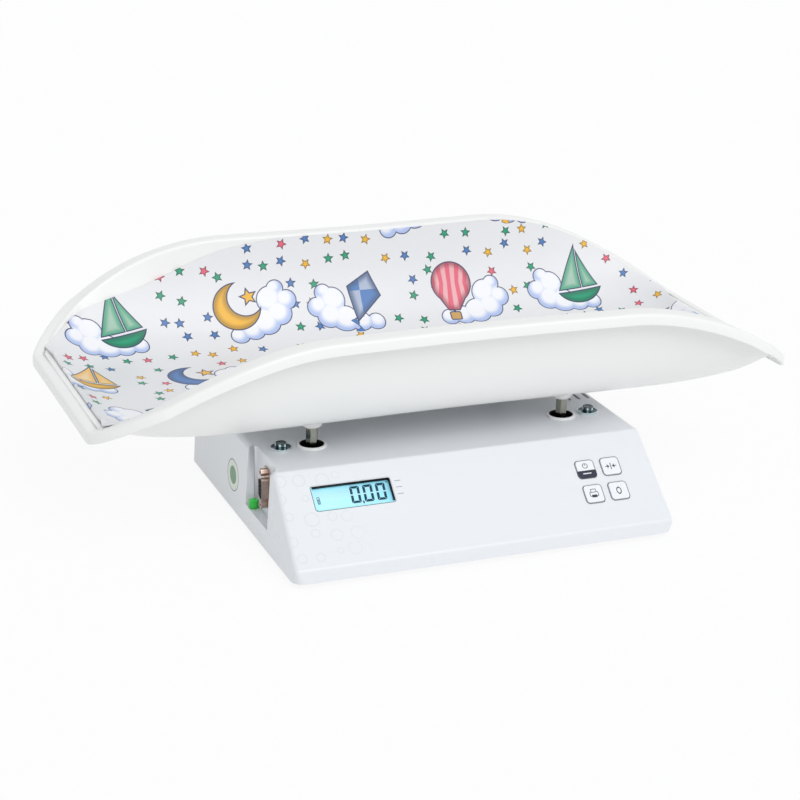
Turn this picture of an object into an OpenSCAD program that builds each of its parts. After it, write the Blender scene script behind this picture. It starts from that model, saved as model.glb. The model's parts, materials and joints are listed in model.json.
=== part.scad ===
// Baby weighing scale: a long curved tray with a soft mat, carried by four posts on a
// single-point load cell inside a low housing with a sloped display and key panel.
// The front of the housing faces -Y, the tray lies along X and +Z is up.

/* [Housing] */
// Width of the housing at its bottom edge
base_w = 295.5; // [290:0.5:310]
// How far each side wall leans in by the top edge
side_draft = 3.25; // [1:0.05:6]
// Depth of the housing, front to back
base_d = 255.8; // [245:0.1:275]
// Height of the top face above the bottom edge
base_h = 61.4; // [58:0.1:68]
// Height of the upright strip below the sloped panel
front_h = 10; // [6:0.5:16]
// Distance from the front to the line where the panel meets the top
panel_run = 57.8; // [50:0.1:64]
// Wall thickness of the moulded cover
wall = 2.5; // [2:0.1:3]
// Radius of the upright corners at the bottom edge
corner_r = 9; // [6:0.5:14]
// Radius along the top edges
edge_r = 5; // [4:0.5:7]
// Radius along the front and side edges of the panel
panel_r = 3.6; // [3.2:0.1:5]
// Depth of the stiffening ribs under the top
rib_h = 7; // [4:0.5:9]
// Thickness of the ribs
rib_t = 1.6; // [1.2:0.1:2.4]

/* [Connector recess] */
// Front wall of the recess, from the front of the housing
recess_front = 64; // [62:0.5:70]
// Back wall of the recess, from the front of the housing
recess_back = 115; // [108:0.5:125]
// Floor of the recess above the bottom edge
recess_floor = 15.5; // [14:0.5:20]
// How far the recess goes in from the bottom edge of the side wall
recess_depth = 9; // [8.8:0.1:11]
// Radius of the inner corners of the recess
recess_r = 5; // [3:0.5:7]
// Centre of the serial connector, from the front wall of the recess
serial_inset = 23; // [22:0.5:26]
// Centre of the serial connector below the top of the housing
serial_drop = 22.9; // [22:0.1:26]
// Centre of the spirit level, from the back wall of the recess
level_inset = 8; // [7:0.5:9]
// Diameter of the spirit level
level_d = 7.6; // [6:0.1:7.8]
// Height of the spirit level
level_h = 6.2; // [5:0.1:8]

/* [Vents and inlet] */
// Distance of the outermost vent slot's edge from the right side of the top
vent_inset = 4.9; // [4.9:0.1:8]
// Distance between vent slots
vent_pitch = 7.8; // [6:0.1:9]
// Width of a vent slot
vent_w = 2.4; // [1.6:0.1:3]
// Length of a vent slot
vent_l = 46; // [30:1:60]
// Middle of the vent slots, forward of the tray's middle
vent_shift = 5.7; // [-10:0.1:10]
// Number of vent slots
vent_count = 3; // [2:1:4]
// Distance of the power inlet from the right side of the housing
inlet_inset = 51.5; // [40:0.5:70]
// Height of the power inlet above the bottom edge
inlet_z = 32; // [24:0.5:40]

/* [Base plate and feet] */
// Thickness of the steel base plate
plate_t = 3; // [2.5:0.1:4]
// Height of the turned-up edge of the base plate
plate_edge_h = 9; // [6:0.5:11]
// Thickness of the turned-up edge
plate_edge_t = 2; // [1.5:0.1:2.5]
// Gap between the base plate and the cover wall
plate_gap = 1.2; // [1:0.1:2]
// Gap under the bottom edge of the housing when the feet are screwed in
foot_stand = 3.5; // [3.2:0.1:6]
// Distance of the feet from the sides and ends of the housing
foot_inset = 22; // [21:0.5:30]
// Diameter of a foot pad
foot_pad_d = 22; // [18:0.5:26]
// Diameter of the foot thread
foot_stud_d = 8; // [6:0.1:10]
// Height of the threaded foot insert
foot_insert_h = 7.5; // [6:0.5:9]

/* [Display] */
// Left edge of the display opening, from the left side of the top
lcd_inset = 23.5; // [22:0.5:30]
// Upper edge of the display opening, down the slope from the top line
lcd_u = 13.5; // [12:0.5:20]
// Width of the display opening
lcd_w = 61; // [50:0.5:63]
// Height of the display opening along the slope
lcd_h = 20.5; // [16:0.5:24]
// Corner radius of the display opening
lcd_r = 2.2; // [1:0.1:3]
// Depth of the display window below the panel face
lcd_recess = 4.6; // [3.6:0.1:6]
// Width of the black frame round the display window
bezel_w = 1.2; // [0.8:0.1:1.6]

/* [Keys] */
// Middle of the key block, from the right side of the top
keys_inset = 43.4; // [40:0.1:50]
// Middle of the key block, up the slope from the panel's lower edge
keys_rise = 39.05; // [36:0.05:43]
// Distance between key centres
key_pitch = 20.4; // [19:0.1:22]
// Width of a key
key_w = 15.2; // [11:0.1:16]
// Length of a key along the slope
key_l = 14.8; // [11:0.1:16]
// Corner radius of a key
key_r = 3; // [1:0.1:4]
// How far a key stands above the panel
key_proud = 0.6; // [0.6:0.1:1.5]
// Travel of a key
key_travel = 0.5; // [0.3:0.1:0.6]
// Gap round a key in its hole
key_gap = 0.3; // [0.2:0.05:0.5]

/* [Weighing frame] */
// Distance of the posts from the sides of the housing
post_inset = 47.25; // [44:0.25:52]
// Distance between the posts along Y
post_span_y = 115; // [105:0.5:125]
// Width across the flats of a post
post_af = 8; // [8:0.5:12]
// Height of the post tops above the bottom edge of the housing
post_top = 76.2; // [71:0.1:78]
// Length of the load cell
cell_l = 130; // [120:1:150]
// Width of the load cell
cell_w = 30; // [26:1:34]
// Height of the load cell
cell_h = 22; // [20:0.5:24]
// Thickness of the spacers above and below the load cell
spacer_t = 6; // [4:0.5:7]
// Thickness of the spider arms
spider_t = 8; // [6:0.5:9]
// Width of the spider arms
spider_w = 20; // [18:0.5:24]
// Full-load travel of the weighing platform
load_travel = 0.6; // [0.3:0.1:0.8]

/* [Cover fastenings] */
// Distance of the cover bolts from the sides of the housing
bolt_inset = 23.95; // [22:0.05:26]
// Distance between the cover bolts along Y
bolt_span_y = 112.6; // [105:0.2:120]
// Diameter of the dished washers under the cover bolts
washer_d = 16.5; // [14:0.1:18]
// Width across the flats of the cover bolt heads
bolt_af = 8; // [8:0.1:12]
// Height of the cover bolt heads
bolt_head_h = 4; // [3.5:0.1:7]
// Diameter of the white grommet rings
grommet_d = 22.4; // [21:0.1:25]
// Diameter of the hole through a grommet
grommet_hole_d = 17.6; // [15:0.1:18]

/* [Tray] */
// Distance of the tray's middle from the back of the housing
tray_inset = 97.1; // [92:0.1:104]
// Height of the tray's underside in the middle above the bottom edge of the housing
tray_floor = 82.9; // [80:0.1:90]
// Height of the underside near the ends
tray_floor_end = 97.5; // [94:0.1:99]
// Height of the rim along the middle
rim_high = 168.2; // [140:0.1:185]
// Height of the rim at the ends
rim_low = 103.1; // [102:0.1:115]
// Distance from the middle over which the rim stays level
rim_level_x = 108; // [80:1:130]
// Half length of the tray to the inner edge of the end rim
rim_end_x = 264.2; // [240:0.1:300]
// Half width of the tray at the middle
rim_mid_w = 129.2; // [115:0.1:140]
// Distance from the middle to the widest place of the tray
rim_shoulder_x = 162; // [140:1:180]
// Half width at the widest place
rim_shoulder_w = 133.6; // [118:0.1:145]
// Half width where the end corners start
rim_corner_w = 123.3; // [110:0.1:135]
// How far the end corners reach along the sides and ends
rim_corner_r = 39.9; // [20:0.1:60]
// Roundness of the end corners in plan, where 2 is round and 1 is a straight cut
corner_power = 1.32; // [1.2:0.01:2.5]
// Width of the rim flange along the sides
flange_side = 12.5; // [9:0.1:16]
// Width of the rim flange at the ends
flange_end = 9.3; // [7:0.1:12]
// Height of the turned-down edge of the flange
lip_h = 9.5; // [7:0.1:12]
// Wall thickness of the tray
tray_t = 2.6; // [2.2:0.1:3.5]
// Diameter of the bosses under the tray
boss_d = 16; // [14:0.5:18]
// Diameter of the bosses where they sit on the posts
boss_foot_d = 10.6; // [10:0.1:13]

/* [Mat] */
// Thickness of the mat
mat_t = 2; // [1.5:0.1:5]
// Left end of the mat, from the middle
mat_left = -261.5; // [-262:0.5:-230]
// Right end of the mat, from the middle
mat_right = 261.5; // [230:0.5:262]
// Reach of the mat's back edge at the middle, as a share of the tray's half width
mat_back_mid = 1; // [0.9:0.005:1]
// Reach of the back edge at the left end
mat_back_left = 1; // [0.7:0.01:1]
// Reach of the back edge at the right end
mat_back_right = 1; // [0.7:0.01:1]
// How far the left half of the back edge hangs below that line, as such a share
mat_back_sag = 0.045; // [0:0.005:0.06]
// Reach of the mat's front edge at the middle
mat_front_mid = 0.97; // [0.9:0.005:0.99]
// Reach of the front edge at the left end
mat_front_left = 0.98; // [0.6:0.01:0.99]
// Reach of the front edge at the right end
mat_front_right = 0.96; // [0.6:0.01:0.99]

/* [Hidden] */

$fn = 48;
fine = 32;
cut = 1;
clear = 0.3;
thread_gap = 0.05;

// Whole object, seen from above: the housing starts at the front and the tray's flange ends it.
tray_y = base_d - tray_inset;
tray_back = tray_y + rim_shoulder_w + flange_side;
mid_y = tray_back / 2;

// Screw sizes used in the object.
m6_r = 3;
m5_r = 2.5;
m5_head_r = 5.1;
nut_af = 10;
nut_h = 5;

// Housing.
base_top_w = base_w - 2 * side_draft;
panel_rise = base_h - front_h;
panel_angle = atan2(panel_rise, panel_run);
inner_top = base_h - wall;
recess_x = -(base_w / 2 - recess_depth);
serial_y = recess_front + serial_inset;
serial_z = base_h - serial_drop;
level_y = recess_back - level_inset;
vent_x = base_top_w / 2 - vent_inset;
inlet_x = base_w / 2 - inlet_inset;
lcd_x = lcd_inset - base_top_w / 2;
keys_x = base_top_w / 2 - keys_inset;
keys_u = norm([panel_run, panel_rise]) - keys_rise;
feet_x = base_w / 2 - foot_inset;
feet_y = [foot_inset, base_d - foot_inset];
plate_half = base_w / 2 - wall - plate_gap;
plate_front = wall + plate_gap;
plate_back = base_d - wall - plate_gap;
plate_r = corner_r - wall;
case_boss_r = 4;
case_screw_r = 1.5;
case_inset = 13;
case_to_foot = 20;
case_bore_l = 12;
case_mid_y = max(base_d / 2, recess_back + wall + case_boss_r + clear);
case_end = foot_inset + case_to_foot;
case_spots = [for (sx = [-1, 1], y = [case_end, case_mid_y, base_d - case_end])
    [sx * (base_w / 2 - case_inset), y]];
post_span_x = base_w - 2 * post_inset;
bolt_span_x = base_w - 2 * bolt_inset;
rib_spots = [for (i = [-2:2]) i * post_span_x / 5];
rib_l = 26;

// Panel pieces, measured along the panel's inward normal.
key_flange_w = 1.2;
key_flange_t = 1.2;
key_cap_depth = wall + 0.2;
key_stem_d = 5;
key_stem_depth = 8;
switch_gap = key_travel + 0.2;
switch_w = 6;
switch_h = 3.4;
switch_button_d = 3.4;
switch_button_h = 1.2;
panel_board_depth = key_stem_depth + switch_gap + switch_button_h + switch_h;
board_t = 1.6;
window_t = 1;
glass_t = 2.2;
light_t = 3.2;
glass_depth = lcd_recess + window_t;
light_depth = glass_depth + glass_t;
panel_screw_r = 1.2;
panel_boss_r = 2.8;
board_rim = 3.5;
key_board_w = key_pitch + key_w + 2 * (key_flange_w + panel_boss_r + board_rim + 0.4);
key_board_l = key_pitch + switch_w + 4.6;
lcd_board_w = lcd_w + 2 * (1.5 + panel_boss_r + board_rim + 0.4);
lcd_board_l = lcd_h + 10;
lcd_board_depth = light_depth + light_t;
lcd_mid = [lcd_x + lcd_w / 2, lcd_u + lcd_h / 2];
key_board_holes = [for (sx = [-1, 1], sy = [-1, 1])
    [keys_x + sx * (key_board_w / 2 - board_rim), keys_u + sy * (key_board_l / 2 - board_rim)]];
lcd_board_holes = [for (sx = [-1, 1], sy = [-1, 1])
    [lcd_mid[0] + sx * (lcd_board_w / 2 - board_rim), lcd_mid[1] + sy * (lcd_board_l / 2 - board_rim)]];

// Weighing frame.
cell_z = plate_t + spacer_t;
upper_spacer_z = cell_z + cell_h;
spider_z = upper_spacer_z + spacer_t;
post_seat = spider_z + spider_t + 2;
posts = [for (sx = [-1, 1], sy = [-1, 1]) [sx * post_span_x / 2, tray_y + sy * post_span_y / 2]];
bolts = [for (sx = [-1, 1], sy = [-1, 1]) [sx * bolt_span_x / 2, tray_y + sy * bolt_span_y / 2]];
cell_hole_in = 7.5;
cell_hole_pitch = 15;
fixed_holes = [for (i = [0, 1]) -cell_l / 2 + cell_hole_in + i * cell_hole_pitch];
free_holes = [for (i = [0, 1]) cell_l / 2 - cell_hole_in - i * cell_hole_pitch];
spacer_l = cell_hole_pitch + 2 * cell_hole_in;
stop_gap = load_travel + 0.35;
stop_spots = [for (sx = [-1, 1], sy = [-1, 1]) [sx * post_span_x / 2, tray_y + sy * post_span_y * 0.26]];
cell_screw_in = 14;

// Tray form: a boxy trough whose floor lifts towards the ends, with a rolled flange all round.
roll_h = 3;
side_power = 6.15;
end_power = 6;
end_wall_power = 60;
rim_power = 2.06;
rim_corner_x = rim_end_x - rim_corner_r;
steps = [0.25, 0.5, 0.66, 0.77, 0.85, 0.91, 0.945, 0.97, 0.985, 0.994, 1];
tray_screw_head = 2.6;

function blend(a, a0, a1, v0, v1) = v0 + (v1 - v0) * (1 - cos(180 * (a - a0) / (a1 - a0))) / 2;
function corner_w(ax) = let (d = (min(ax, rim_end_x - 0.01) - rim_corner_x) / rim_corner_r)
    rim_corner_w - rim_corner_r * (1 - pow(1 - pow(d, corner_power), 1 / corner_power));
function past_shoulder(ax) = (ax - rim_shoulder_x) / (rim_corner_x - rim_shoulder_x);
function half_w(ax) = ax <= rim_shoulder_x
    ? blend(ax, 0, rim_shoulder_x, rim_mid_w, rim_shoulder_w)
    : ax <= rim_corner_x
        ? rim_shoulder_w - (rim_shoulder_w - rim_corner_w) * pow(past_shoulder(ax), 2)
        : corner_w(ax);
function rim_z(ax) = rim_high
    - (rim_high - rim_low) * pow(max(0, ax - rim_level_x) / (rim_end_x - rim_level_x), rim_power);
function floor_z(ax) = tray_floor
    + (tray_floor_end - tray_floor) * pow(min(1, ax / rim_end_x), end_power);
// Height of the tray's underside at a place in the tray's own plan.
function pan_z(x, y) = let (
    ax = min(abs(x), rim_end_x),
    side = pow(min(1, abs(y) / half_w(ax)), side_power),
    end = pow(ax / rim_end_x, end_wall_power))
    floor_z(ax) + (rim_z(ax) - roll_h - floor_z(ax)) * (side + end - side * end);
function unit(v) = v / norm(v);
function pan_normal(x, y) = let (
    d = 0.3, qx = x * 0.997, qy = y * 0.997,
    gx = (pan_z(qx + d, qy) - pan_z(qx - d, qy)) / (2 * d),
    gy = (pan_z(qx, qy + d) - pan_z(qx, qy - d)) / (2 * d))
    unit([-gx, -gy, 1]);
function pan_point(x, y, lift) = [x, y, pan_z(x, y)] + lift * pan_normal(x, y);

// Rim line in plan: one quarter, then all of it.
rim_quarter = concat(
    [for (i = [0:5]) let (x = i * rim_shoulder_x / 6) [x, half_w(x)]],
    [for (i = [0:5]) let (x = rim_shoulder_x + i * (rim_corner_x - rim_shoulder_x) / 5) [x, half_w(x)]],
    [for (a = [10:16:90]) let (k = 2 / corner_power) [rim_corner_x + rim_corner_r * pow(sin(a), k),
        rim_corner_w - rim_corner_r * (1 - pow(cos(a), k))]],
    [for (i = [2, 1]) [rim_end_x, i * (rim_corner_w - rim_corner_r) / 3]]);
quarter_n = len(rim_quarter);
rim_line = concat(
    rim_quarter,
    [[rim_end_x, 0]],
    [for (i = [quarter_n - 1:-1:1]) [rim_quarter[i][0], -rim_quarter[i][1]]],
    [for (i = [0:quarter_n - 1]) [-rim_quarter[i][0], -rim_quarter[i][1]]],
    [[-rim_end_x, 0]],
    [for (i = [quarter_n - 1:-1:1]) [-rim_quarter[i][0], rim_quarter[i][1]]]);
rim_n = len(rim_line);
function rim_out(i) = let (
    a = rim_line[(i + rim_n - 1) % rim_n], b = rim_line[(i + 1) % rim_n])
    unit([-(b[1] - a[1]), b[0] - a[0]]);
function flange_w(i) = let (o = rim_out(i)) flange_side + (flange_end - flange_side) * o[0] * o[0];
function pan_ring(s, lift) = [for (p = rim_line) pan_point(s * p[0], s * p[1], lift)];
// A ring beside the rim line: out by a share of the flange and a distance, below the rim's top.
function rim_ring(share, out, down) = [for (i = [0:rim_n - 1]) let (
    p = rim_line[i], o = rim_out(i), k = share * flange_w(i) + out)
    [p[0] + k * o[0], p[1] + k * o[1], rim_z(abs(p[0])) - down]];
function between(a, b, up) = [for (i = [0:len(a) - 1]) (a[i] + b[i]) / 2 + [0, 0, up]];

// A closed solid through rings of equal length, capped by a point at each end.
module loft(rings, first, last) {
    n = len(rings[0]);
    m = len(rings);
    points = concat([first], [for (r = rings) each r], [last]);
    faces = concat(
        [for (i = [0:n - 1]) [0, 1 + i, 1 + (i + 1) % n]],
        [for (k = [0:m - 2], i = [0:n - 1]) let (a = 1 + k * n + i, b = 1 + k * n + (i + 1) % n)
            each [[a, a + n, b], [b, a + n, b + n]]],
        [for (i = [0:n - 1]) [1 + m * n, 1 + (m - 1) * n + (i + 1) % n, 1 + (m - 1) * n + i]]);
    polyhedron(points, faces);
}

module placed() translate([0, -mid_y, foot_stand]) children();
module on_tray() placed() translate([0, tray_y, 0]) children();
// Panel space: x across, y up the slope from the top line, z out of the panel.
module on_panel() placed() translate([0, panel_run, base_h]) rotate([panel_angle, 0, 0]) children();
module at(spots) for (p = spots) translate([p[0], p[1], 0]) children();

module rounded(w, d, r) {
    square([w - 2 * r, d], center = true);
    square([w, d - 2 * r], center = true);
    for (sx = [-1, 1], sy = [-1, 1]) translate([sx * (w / 2 - r), sy * (d / 2 - r)]) circle(r);
}
module block(w, d, h, r) linear_extrude(h) rounded(w, d, r);
module hexagon(af, h) cylinder(d = af / cos(30), h = h, $fn = 6);
module ring(outer_r, inner_r, h) difference() {
    cylinder(r = outer_r, h = h);
    translate([0, 0, -cut]) cylinder(r = inner_r, h = h + 2 * cut);
}
module ball(r) rotate_extrude($fn = fine) polygon([for (a = [-90:15:90]) r * [cos(a), sin(a)]]);
// Hexagon head with its top corners turned off.
module hex_head(af, h) intersection() {
    hexagon(af, h);
    cylinder(r1 = af / 2 + 1.4 * h, r2 = af / 2 * 0.94, h = h);
}

// ---- Housing ----

module housing_form(inset) {
    z_edge = base_h - edge_r;
    crease_y = panel_run + panel_r * tan(panel_angle / 2);
    front_z = front_h - panel_r * tan(45 - panel_angle / 2);
    hull() for (sx = [-1, 1]) {
        for (y = [corner_r, base_d - corner_r])
            translate([sx * (base_w / 2 - corner_r), y, inset > 0 ? -cut : 0])
                cylinder(r = corner_r - inset, h = inset > 0 ? cut : 0.5, $fn = fine);
        translate([sx * (base_w / 2 - side_draft * front_z / base_h - panel_r), panel_r, front_z])
            ball(panel_r - inset);
        translate([sx * (base_top_w / 2 - panel_r), crease_y, base_h - panel_r])
            ball(panel_r - inset);
        translate([sx * (base_top_w / 2 - edge_r), crease_y + edge_r, z_edge])
            ball(edge_r - inset);
        translate([sx * (base_top_w / 2 - edge_r), base_d - side_draft - edge_r, z_edge])
            ball(edge_r - inset);
    }
}
module recess_block(grow) {
    outside = 30;
    x1 = recess_x + grow;
    y0 = recess_front - grow;
    y1 = recess_back + grow;
    translate([x1 - outside, (y0 + y1) / 2, recess_floor - grow])
        block(2 * outside, y1 - y0, base_h, recess_r + grow);
}
module cover_bosses() {
    translate([0, 0, plate_t]) at(case_spots) cylinder(r = case_boss_r, h = base_h);
    for (x = rib_spots, y = [tray_y - post_span_y / 2 - 7.4 - rib_l, tray_y + post_span_y / 2])
        translate([x - rib_t / 2, y, inner_top - rib_h]) cube([rib_t, rib_l, rib_h + cut]);
}
module panel_bosses() {
    for (h = key_board_holes) translate([h[0], -h[1], -panel_board_depth])
        cylinder(r = panel_boss_r, h = panel_board_depth - wall + 0.5);
    for (h = lcd_board_holes) translate([h[0], -h[1], -lcd_board_depth])
        cylinder(r = panel_boss_r, h = lcd_board_depth - wall + 0.5);
}
module key_spots(names) for (k = names) translate(key_place(k)) children();
function key_place(k) = [keys_x + (k[0] - 0.5) * key_pitch, -(keys_u + (k[1] - 0.5) * key_pitch), 0];
all_keys = [[0, 0], [1, 0], [0, 1], [1, 1]];

module base_cover() color("ghostwhite") {
    difference() {
        placed() difference() {
            housing_form(0);
            difference() {
                housing_form(wall);
                recess_block(wall);
                cover_bosses();
            }
            recess_block(0);
            translate([0, 0, plate_t - cut]) at(case_spots)
                cylinder(r = case_screw_r, h = case_bore_l + cut);
            translate([0, 0, inner_top - cut]) {
                at(posts) cylinder(d = grommet_neck_d, h = wall + 2 * cut);
                at(bolts) cylinder(r = m5_r + 0.4, h = wall + 2 * cut);
                for (i = [0:vent_count - 1])
                    translate([vent_x - vent_w / 2 - i * vent_pitch, tray_y - vent_shift, 0])
                        block(vent_w, vent_l, wall + 2 * cut, vent_w / 2 - 0.01);
            }
            translate([recess_x - cut, serial_y, serial_z]) rotate([90, 0, 90])
                block(serial_hole_w, serial_hole_l, wall + 2 * cut, 1.5);
            for (s = [-1, 1])
                translate([recess_x - cut, serial_y, serial_z + s * jack_pitch / 2]) rotate([0, 90, 0])
                    cylinder(r = 1.7, h = wall + 2 * cut);
            translate([inlet_x, base_d + cut, inlet_z]) rotate([90, 0, 0])
                cylinder(r = inlet_r, h = 4 * wall);
        }
        on_panel() {
            key_spots(all_keys) translate([0, 0, -wall - cut])
                block(key_w + 2 * key_gap, key_l + 2 * key_gap, wall + 2 * cut, key_r + key_gap);
            translate([lcd_mid[0], -lcd_mid[1], -wall - cut]) block(lcd_w, lcd_h, wall + 2 * cut, lcd_r);
        }
    }
    on_panel() difference() {
        panel_bosses();
        for (h = key_board_holes) translate([h[0], -h[1], -panel_board_depth - cut])
            cylinder(r = panel_screw_r, h = 7 + cut);
        for (h = lcd_board_holes) translate([h[0], -h[1], -lcd_board_depth - cut])
            cylinder(r = panel_screw_r, h = 5 + cut);
    }
}

grommet_neck_d = grommet_hole_d + 2.6;
module post_grommets() color("white") placed() translate([0, 0, base_h]) at(posts) {
    r0 = grommet_hole_d / 2;
    r1 = grommet_neck_d / 2 - 0.1;
    r2 = grommet_d / 2;
    rotate_extrude() polygon([
        [r0, -wall - 1.6], [r1 - 0.2, -wall - 1.6], [r1 + 0.5, -wall - 0.9], [r1 + 0.5, -wall - 0.05],
        [r1, -wall - 0.05], [r1, 0], [r2, 0], [r2, 0.7], [r2 - 0.7, 1.4], [r2 - 1.6, 1.6],
        [r0 + 0.8, 1.6], [r0, 0.9]]);
}

// ---- Base plate, feet and screws ----

module base_plate() color("silver") placed() difference() {
    w = 2 * plate_half;
    d = plate_back - plate_front;
    translate([0, base_d / 2, 0]) difference() {
        block(w, d, plate_edge_h, plate_r);
        translate([0, 0, plate_t])
            block(w - 2 * plate_edge_t, d - 2 * plate_edge_t, plate_edge_h, plate_r - plate_edge_t);
    }
    translate([0, 0, -cut]) {
        for (sx = [-1, 1], y = feet_y) translate([sx * feet_x, y, 0])
            cylinder(d = foot_stud_d + 2 * 0.4, h = plate_t + 2 * cut);
        at(case_spots) cylinder(r = case_screw_r + 0.3, h = plate_t + 2 * cut);
        at(bolts) cylinder(r = m5_r + 0.2, h = plate_t + 2 * cut);
        at(board_spots) cylinder(r = 1.6, h = plate_t + 2 * cut);
        at(stop_spots) cylinder(r = m6_r + thread_gap, h = plate_t + 2 * cut);
        for (x = fixed_holes) translate([x, tray_y, 0]) cylinder(r = m6_r + 0.2, h = plate_t + 2 * cut);
    }
    for (x = fixed_holes) translate([x, tray_y, -0.01]) cylinder(r1 = 6.2, r2 = m6_r + 0.2, h = 2.8);
    at(case_spots) translate([0, 0, -0.01]) cylinder(r1 = 3.4, r2 = case_screw_r + 0.3, h = 2);
    at(bolts) translate([0, 0, -0.01]) cylinder(r1 = m5_head_r + 0.3, r2 = m5_r + 0.2, h = m5_sink);
}
module foot_inserts() color("goldenrod") placed()
    for (sx = [-1, 1], y = feet_y) translate([sx * feet_x, y, plate_t]) difference() {
        hexagon(foot_stud_d + 6, foot_insert_h);
        translate([0, 0, -cut]) cylinder(d = foot_stud_d + 2 * thread_gap, h = foot_insert_h + 2 * cut);
    }
foot_pad_top = -0.4;
foot_head_r = foot_pad_d / 2 - 4;
module foot_stud(sx, y) color("silver") placed() translate([sx * feet_x, y, 0]) {
    translate([0, 0, -foot_stand + 1]) cylinder(r = foot_head_r, h = 1.4);
    translate([0, 0, -foot_stand + 1])
        cylinder(d = foot_stud_d, h = foot_stand - 1 + plate_t + foot_insert_h + 1);
}
module foot_pad(sx, y) color("dimgray") placed() translate([sx * feet_x, y, -foot_stand]) {
    r = foot_pad_d / 2;
    top = foot_stand + foot_pad_top;
    rotate_extrude() polygon([[0, 0], [r - 0.8, 0], [r, 0.8], [r, top - 0.8], [r - 0.8, top],
        [foot_head_r + 0.1, top], [foot_head_r + 0.1, 1], [0, 1]]);
}
module foot_stud_front_left() foot_stud(-1, feet_y[0]);
module foot_pad_front_left() foot_pad(-1, feet_y[0]);
module foot_stud_front_right() foot_stud(1, feet_y[0]);
module foot_pad_front_right() foot_pad(1, feet_y[0]);
module foot_stud_back_left() foot_stud(-1, feet_y[1]);
module foot_pad_back_left() foot_pad(-1, feet_y[1]);
module foot_stud_back_right() foot_stud(1, feet_y[1]);
module foot_pad_back_right() foot_pad(1, feet_y[1]);

module case_screws() color("silver") placed() at(case_spots) {
    cylinder(r1 = 3.2, r2 = case_screw_r - 0.1, h = 1.9);
    cylinder(r = case_screw_r - 0.05, h = plate_t + case_bore_l - 2);
}
m5_sink = 2.6;
pillar_thread_l = 14;
pillar_grip = 10;
module cover_pillars() color("silver") placed() translate([0, 0, plate_t]) at(bolts) difference() {
    h = inner_top - plate_t;
    hexagon(nut_af, h);
    for (z = [-cut, h - pillar_thread_l])
        translate([0, 0, z]) cylinder(r = m5_r + thread_gap, h = pillar_thread_l + cut);
}
module pillar_screws() color("silver") placed() at(bolts) {
    cylinder(r1 = m5_head_r, r2 = m5_r, h = m5_sink - 0.1);
    cylinder(r = m5_r, h = plate_t + pillar_grip);
}
module cover_bolts() color("cadetblue") placed() at(bolts) {
    translate([0, 0, base_h + washer_t]) hex_head(bolt_af, bolt_head_h);
    translate([0, 0, inner_top - pillar_grip])
        cylinder(r = m5_r, h = wall + pillar_grip + washer_t + 0.1);
}
// Dished washer: flat under the bolt head, with a lifted rim.
washer_t = 0.8;
module cover_washers() color("lightsteelblue") placed() translate([0, 0, base_h]) at(bolts)
    rotate_extrude() polygon([
        [m5_r + 0.2, 0], [washer_d / 2, 0], [washer_d / 2, washer_t + 0.7],
        [washer_d / 2 - 0.7, washer_t + 0.7], [bolt_af / 2 + 1.2, washer_t], [m5_r + 0.2, washer_t]]);

// ---- Display ----

module display_bezel() color("black") on_panel()
    translate([lcd_mid[0], -lcd_mid[1], -lcd_board_depth]) difference() {
        union() {
            block(lcd_w - 0.3, lcd_h - 0.3, lcd_board_depth - 0.2, lcd_r - 0.15);
            block(lcd_w + 3, lcd_h + 3, lcd_board_depth - wall - 0.1, lcd_r);
        }
        translate([0, 0, lcd_board_depth - lcd_recess])
            block(lcd_w - 2 * bezel_w, lcd_h - 2 * bezel_w, lcd_recess + cut, lcd_r - 0.6);
        translate([0, 0, -cut])
            block(lcd_w + 1, lcd_h + 1, lcd_board_depth - lcd_recess + cut, 0.8);
    }
module display_window() color("lightcyan") on_panel()
    translate([lcd_mid[0], -lcd_mid[1], -glass_depth]) block(lcd_w + 0.6, lcd_h + 0.6, window_t, 0.6);
module lcd_glass() color("paleturquoise") on_panel()
    translate([lcd_mid[0], -lcd_mid[1], -light_depth]) block(lcd_w + 0.4, lcd_h + 0.4, glass_t, 0.5);
module lcd_backlight() color("lightblue") on_panel()
    translate([lcd_mid[0], -lcd_mid[1], -lcd_board_depth]) block(lcd_w + 0.4, lcd_h + 0.4, light_t, 0.5);
module board(w, l, holes, hole_r) difference() {
    block(w, l, board_t, 1.5);
    translate([0, 0, -cut]) for (h = holes) translate(h) cylinder(r = hole_r, h = board_t + 2 * cut);
}
function local(holes, mid) = [for (h = holes) [h[0] - mid[0], -(h[1] - mid[1]), 0]];
module display_board() color("seagreen") on_panel()
    translate([lcd_mid[0], -lcd_mid[1], -lcd_board_depth - board_t])
        board(lcd_board_w, lcd_board_l, local(lcd_board_holes, lcd_mid), panel_screw_r + 0.3);
module keypad_board() color("seagreen") on_panel()
    translate([keys_x, -keys_u, -panel_board_depth - board_t])
        board(key_board_w, key_board_l, local(key_board_holes, [keys_x, keys_u]), panel_screw_r + 0.3);
module panel_board_screws() color("silver") on_panel() {
    for (h = key_board_holes) translate([h[0], -h[1], -panel_board_depth - board_t]) board_screw();
    for (h = lcd_board_holes) translate([h[0], -h[1], -lcd_board_depth - board_t]) board_screw();
}
module board_screw() {
    translate([0, 0, -1.6]) cylinder(r = 2.4, h = 1.6);
    translate([0, 0, -0.1]) cylinder(r = panel_screw_r - 0.05, h = board_t + 4.6);
}

// ---- Keys ----

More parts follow.
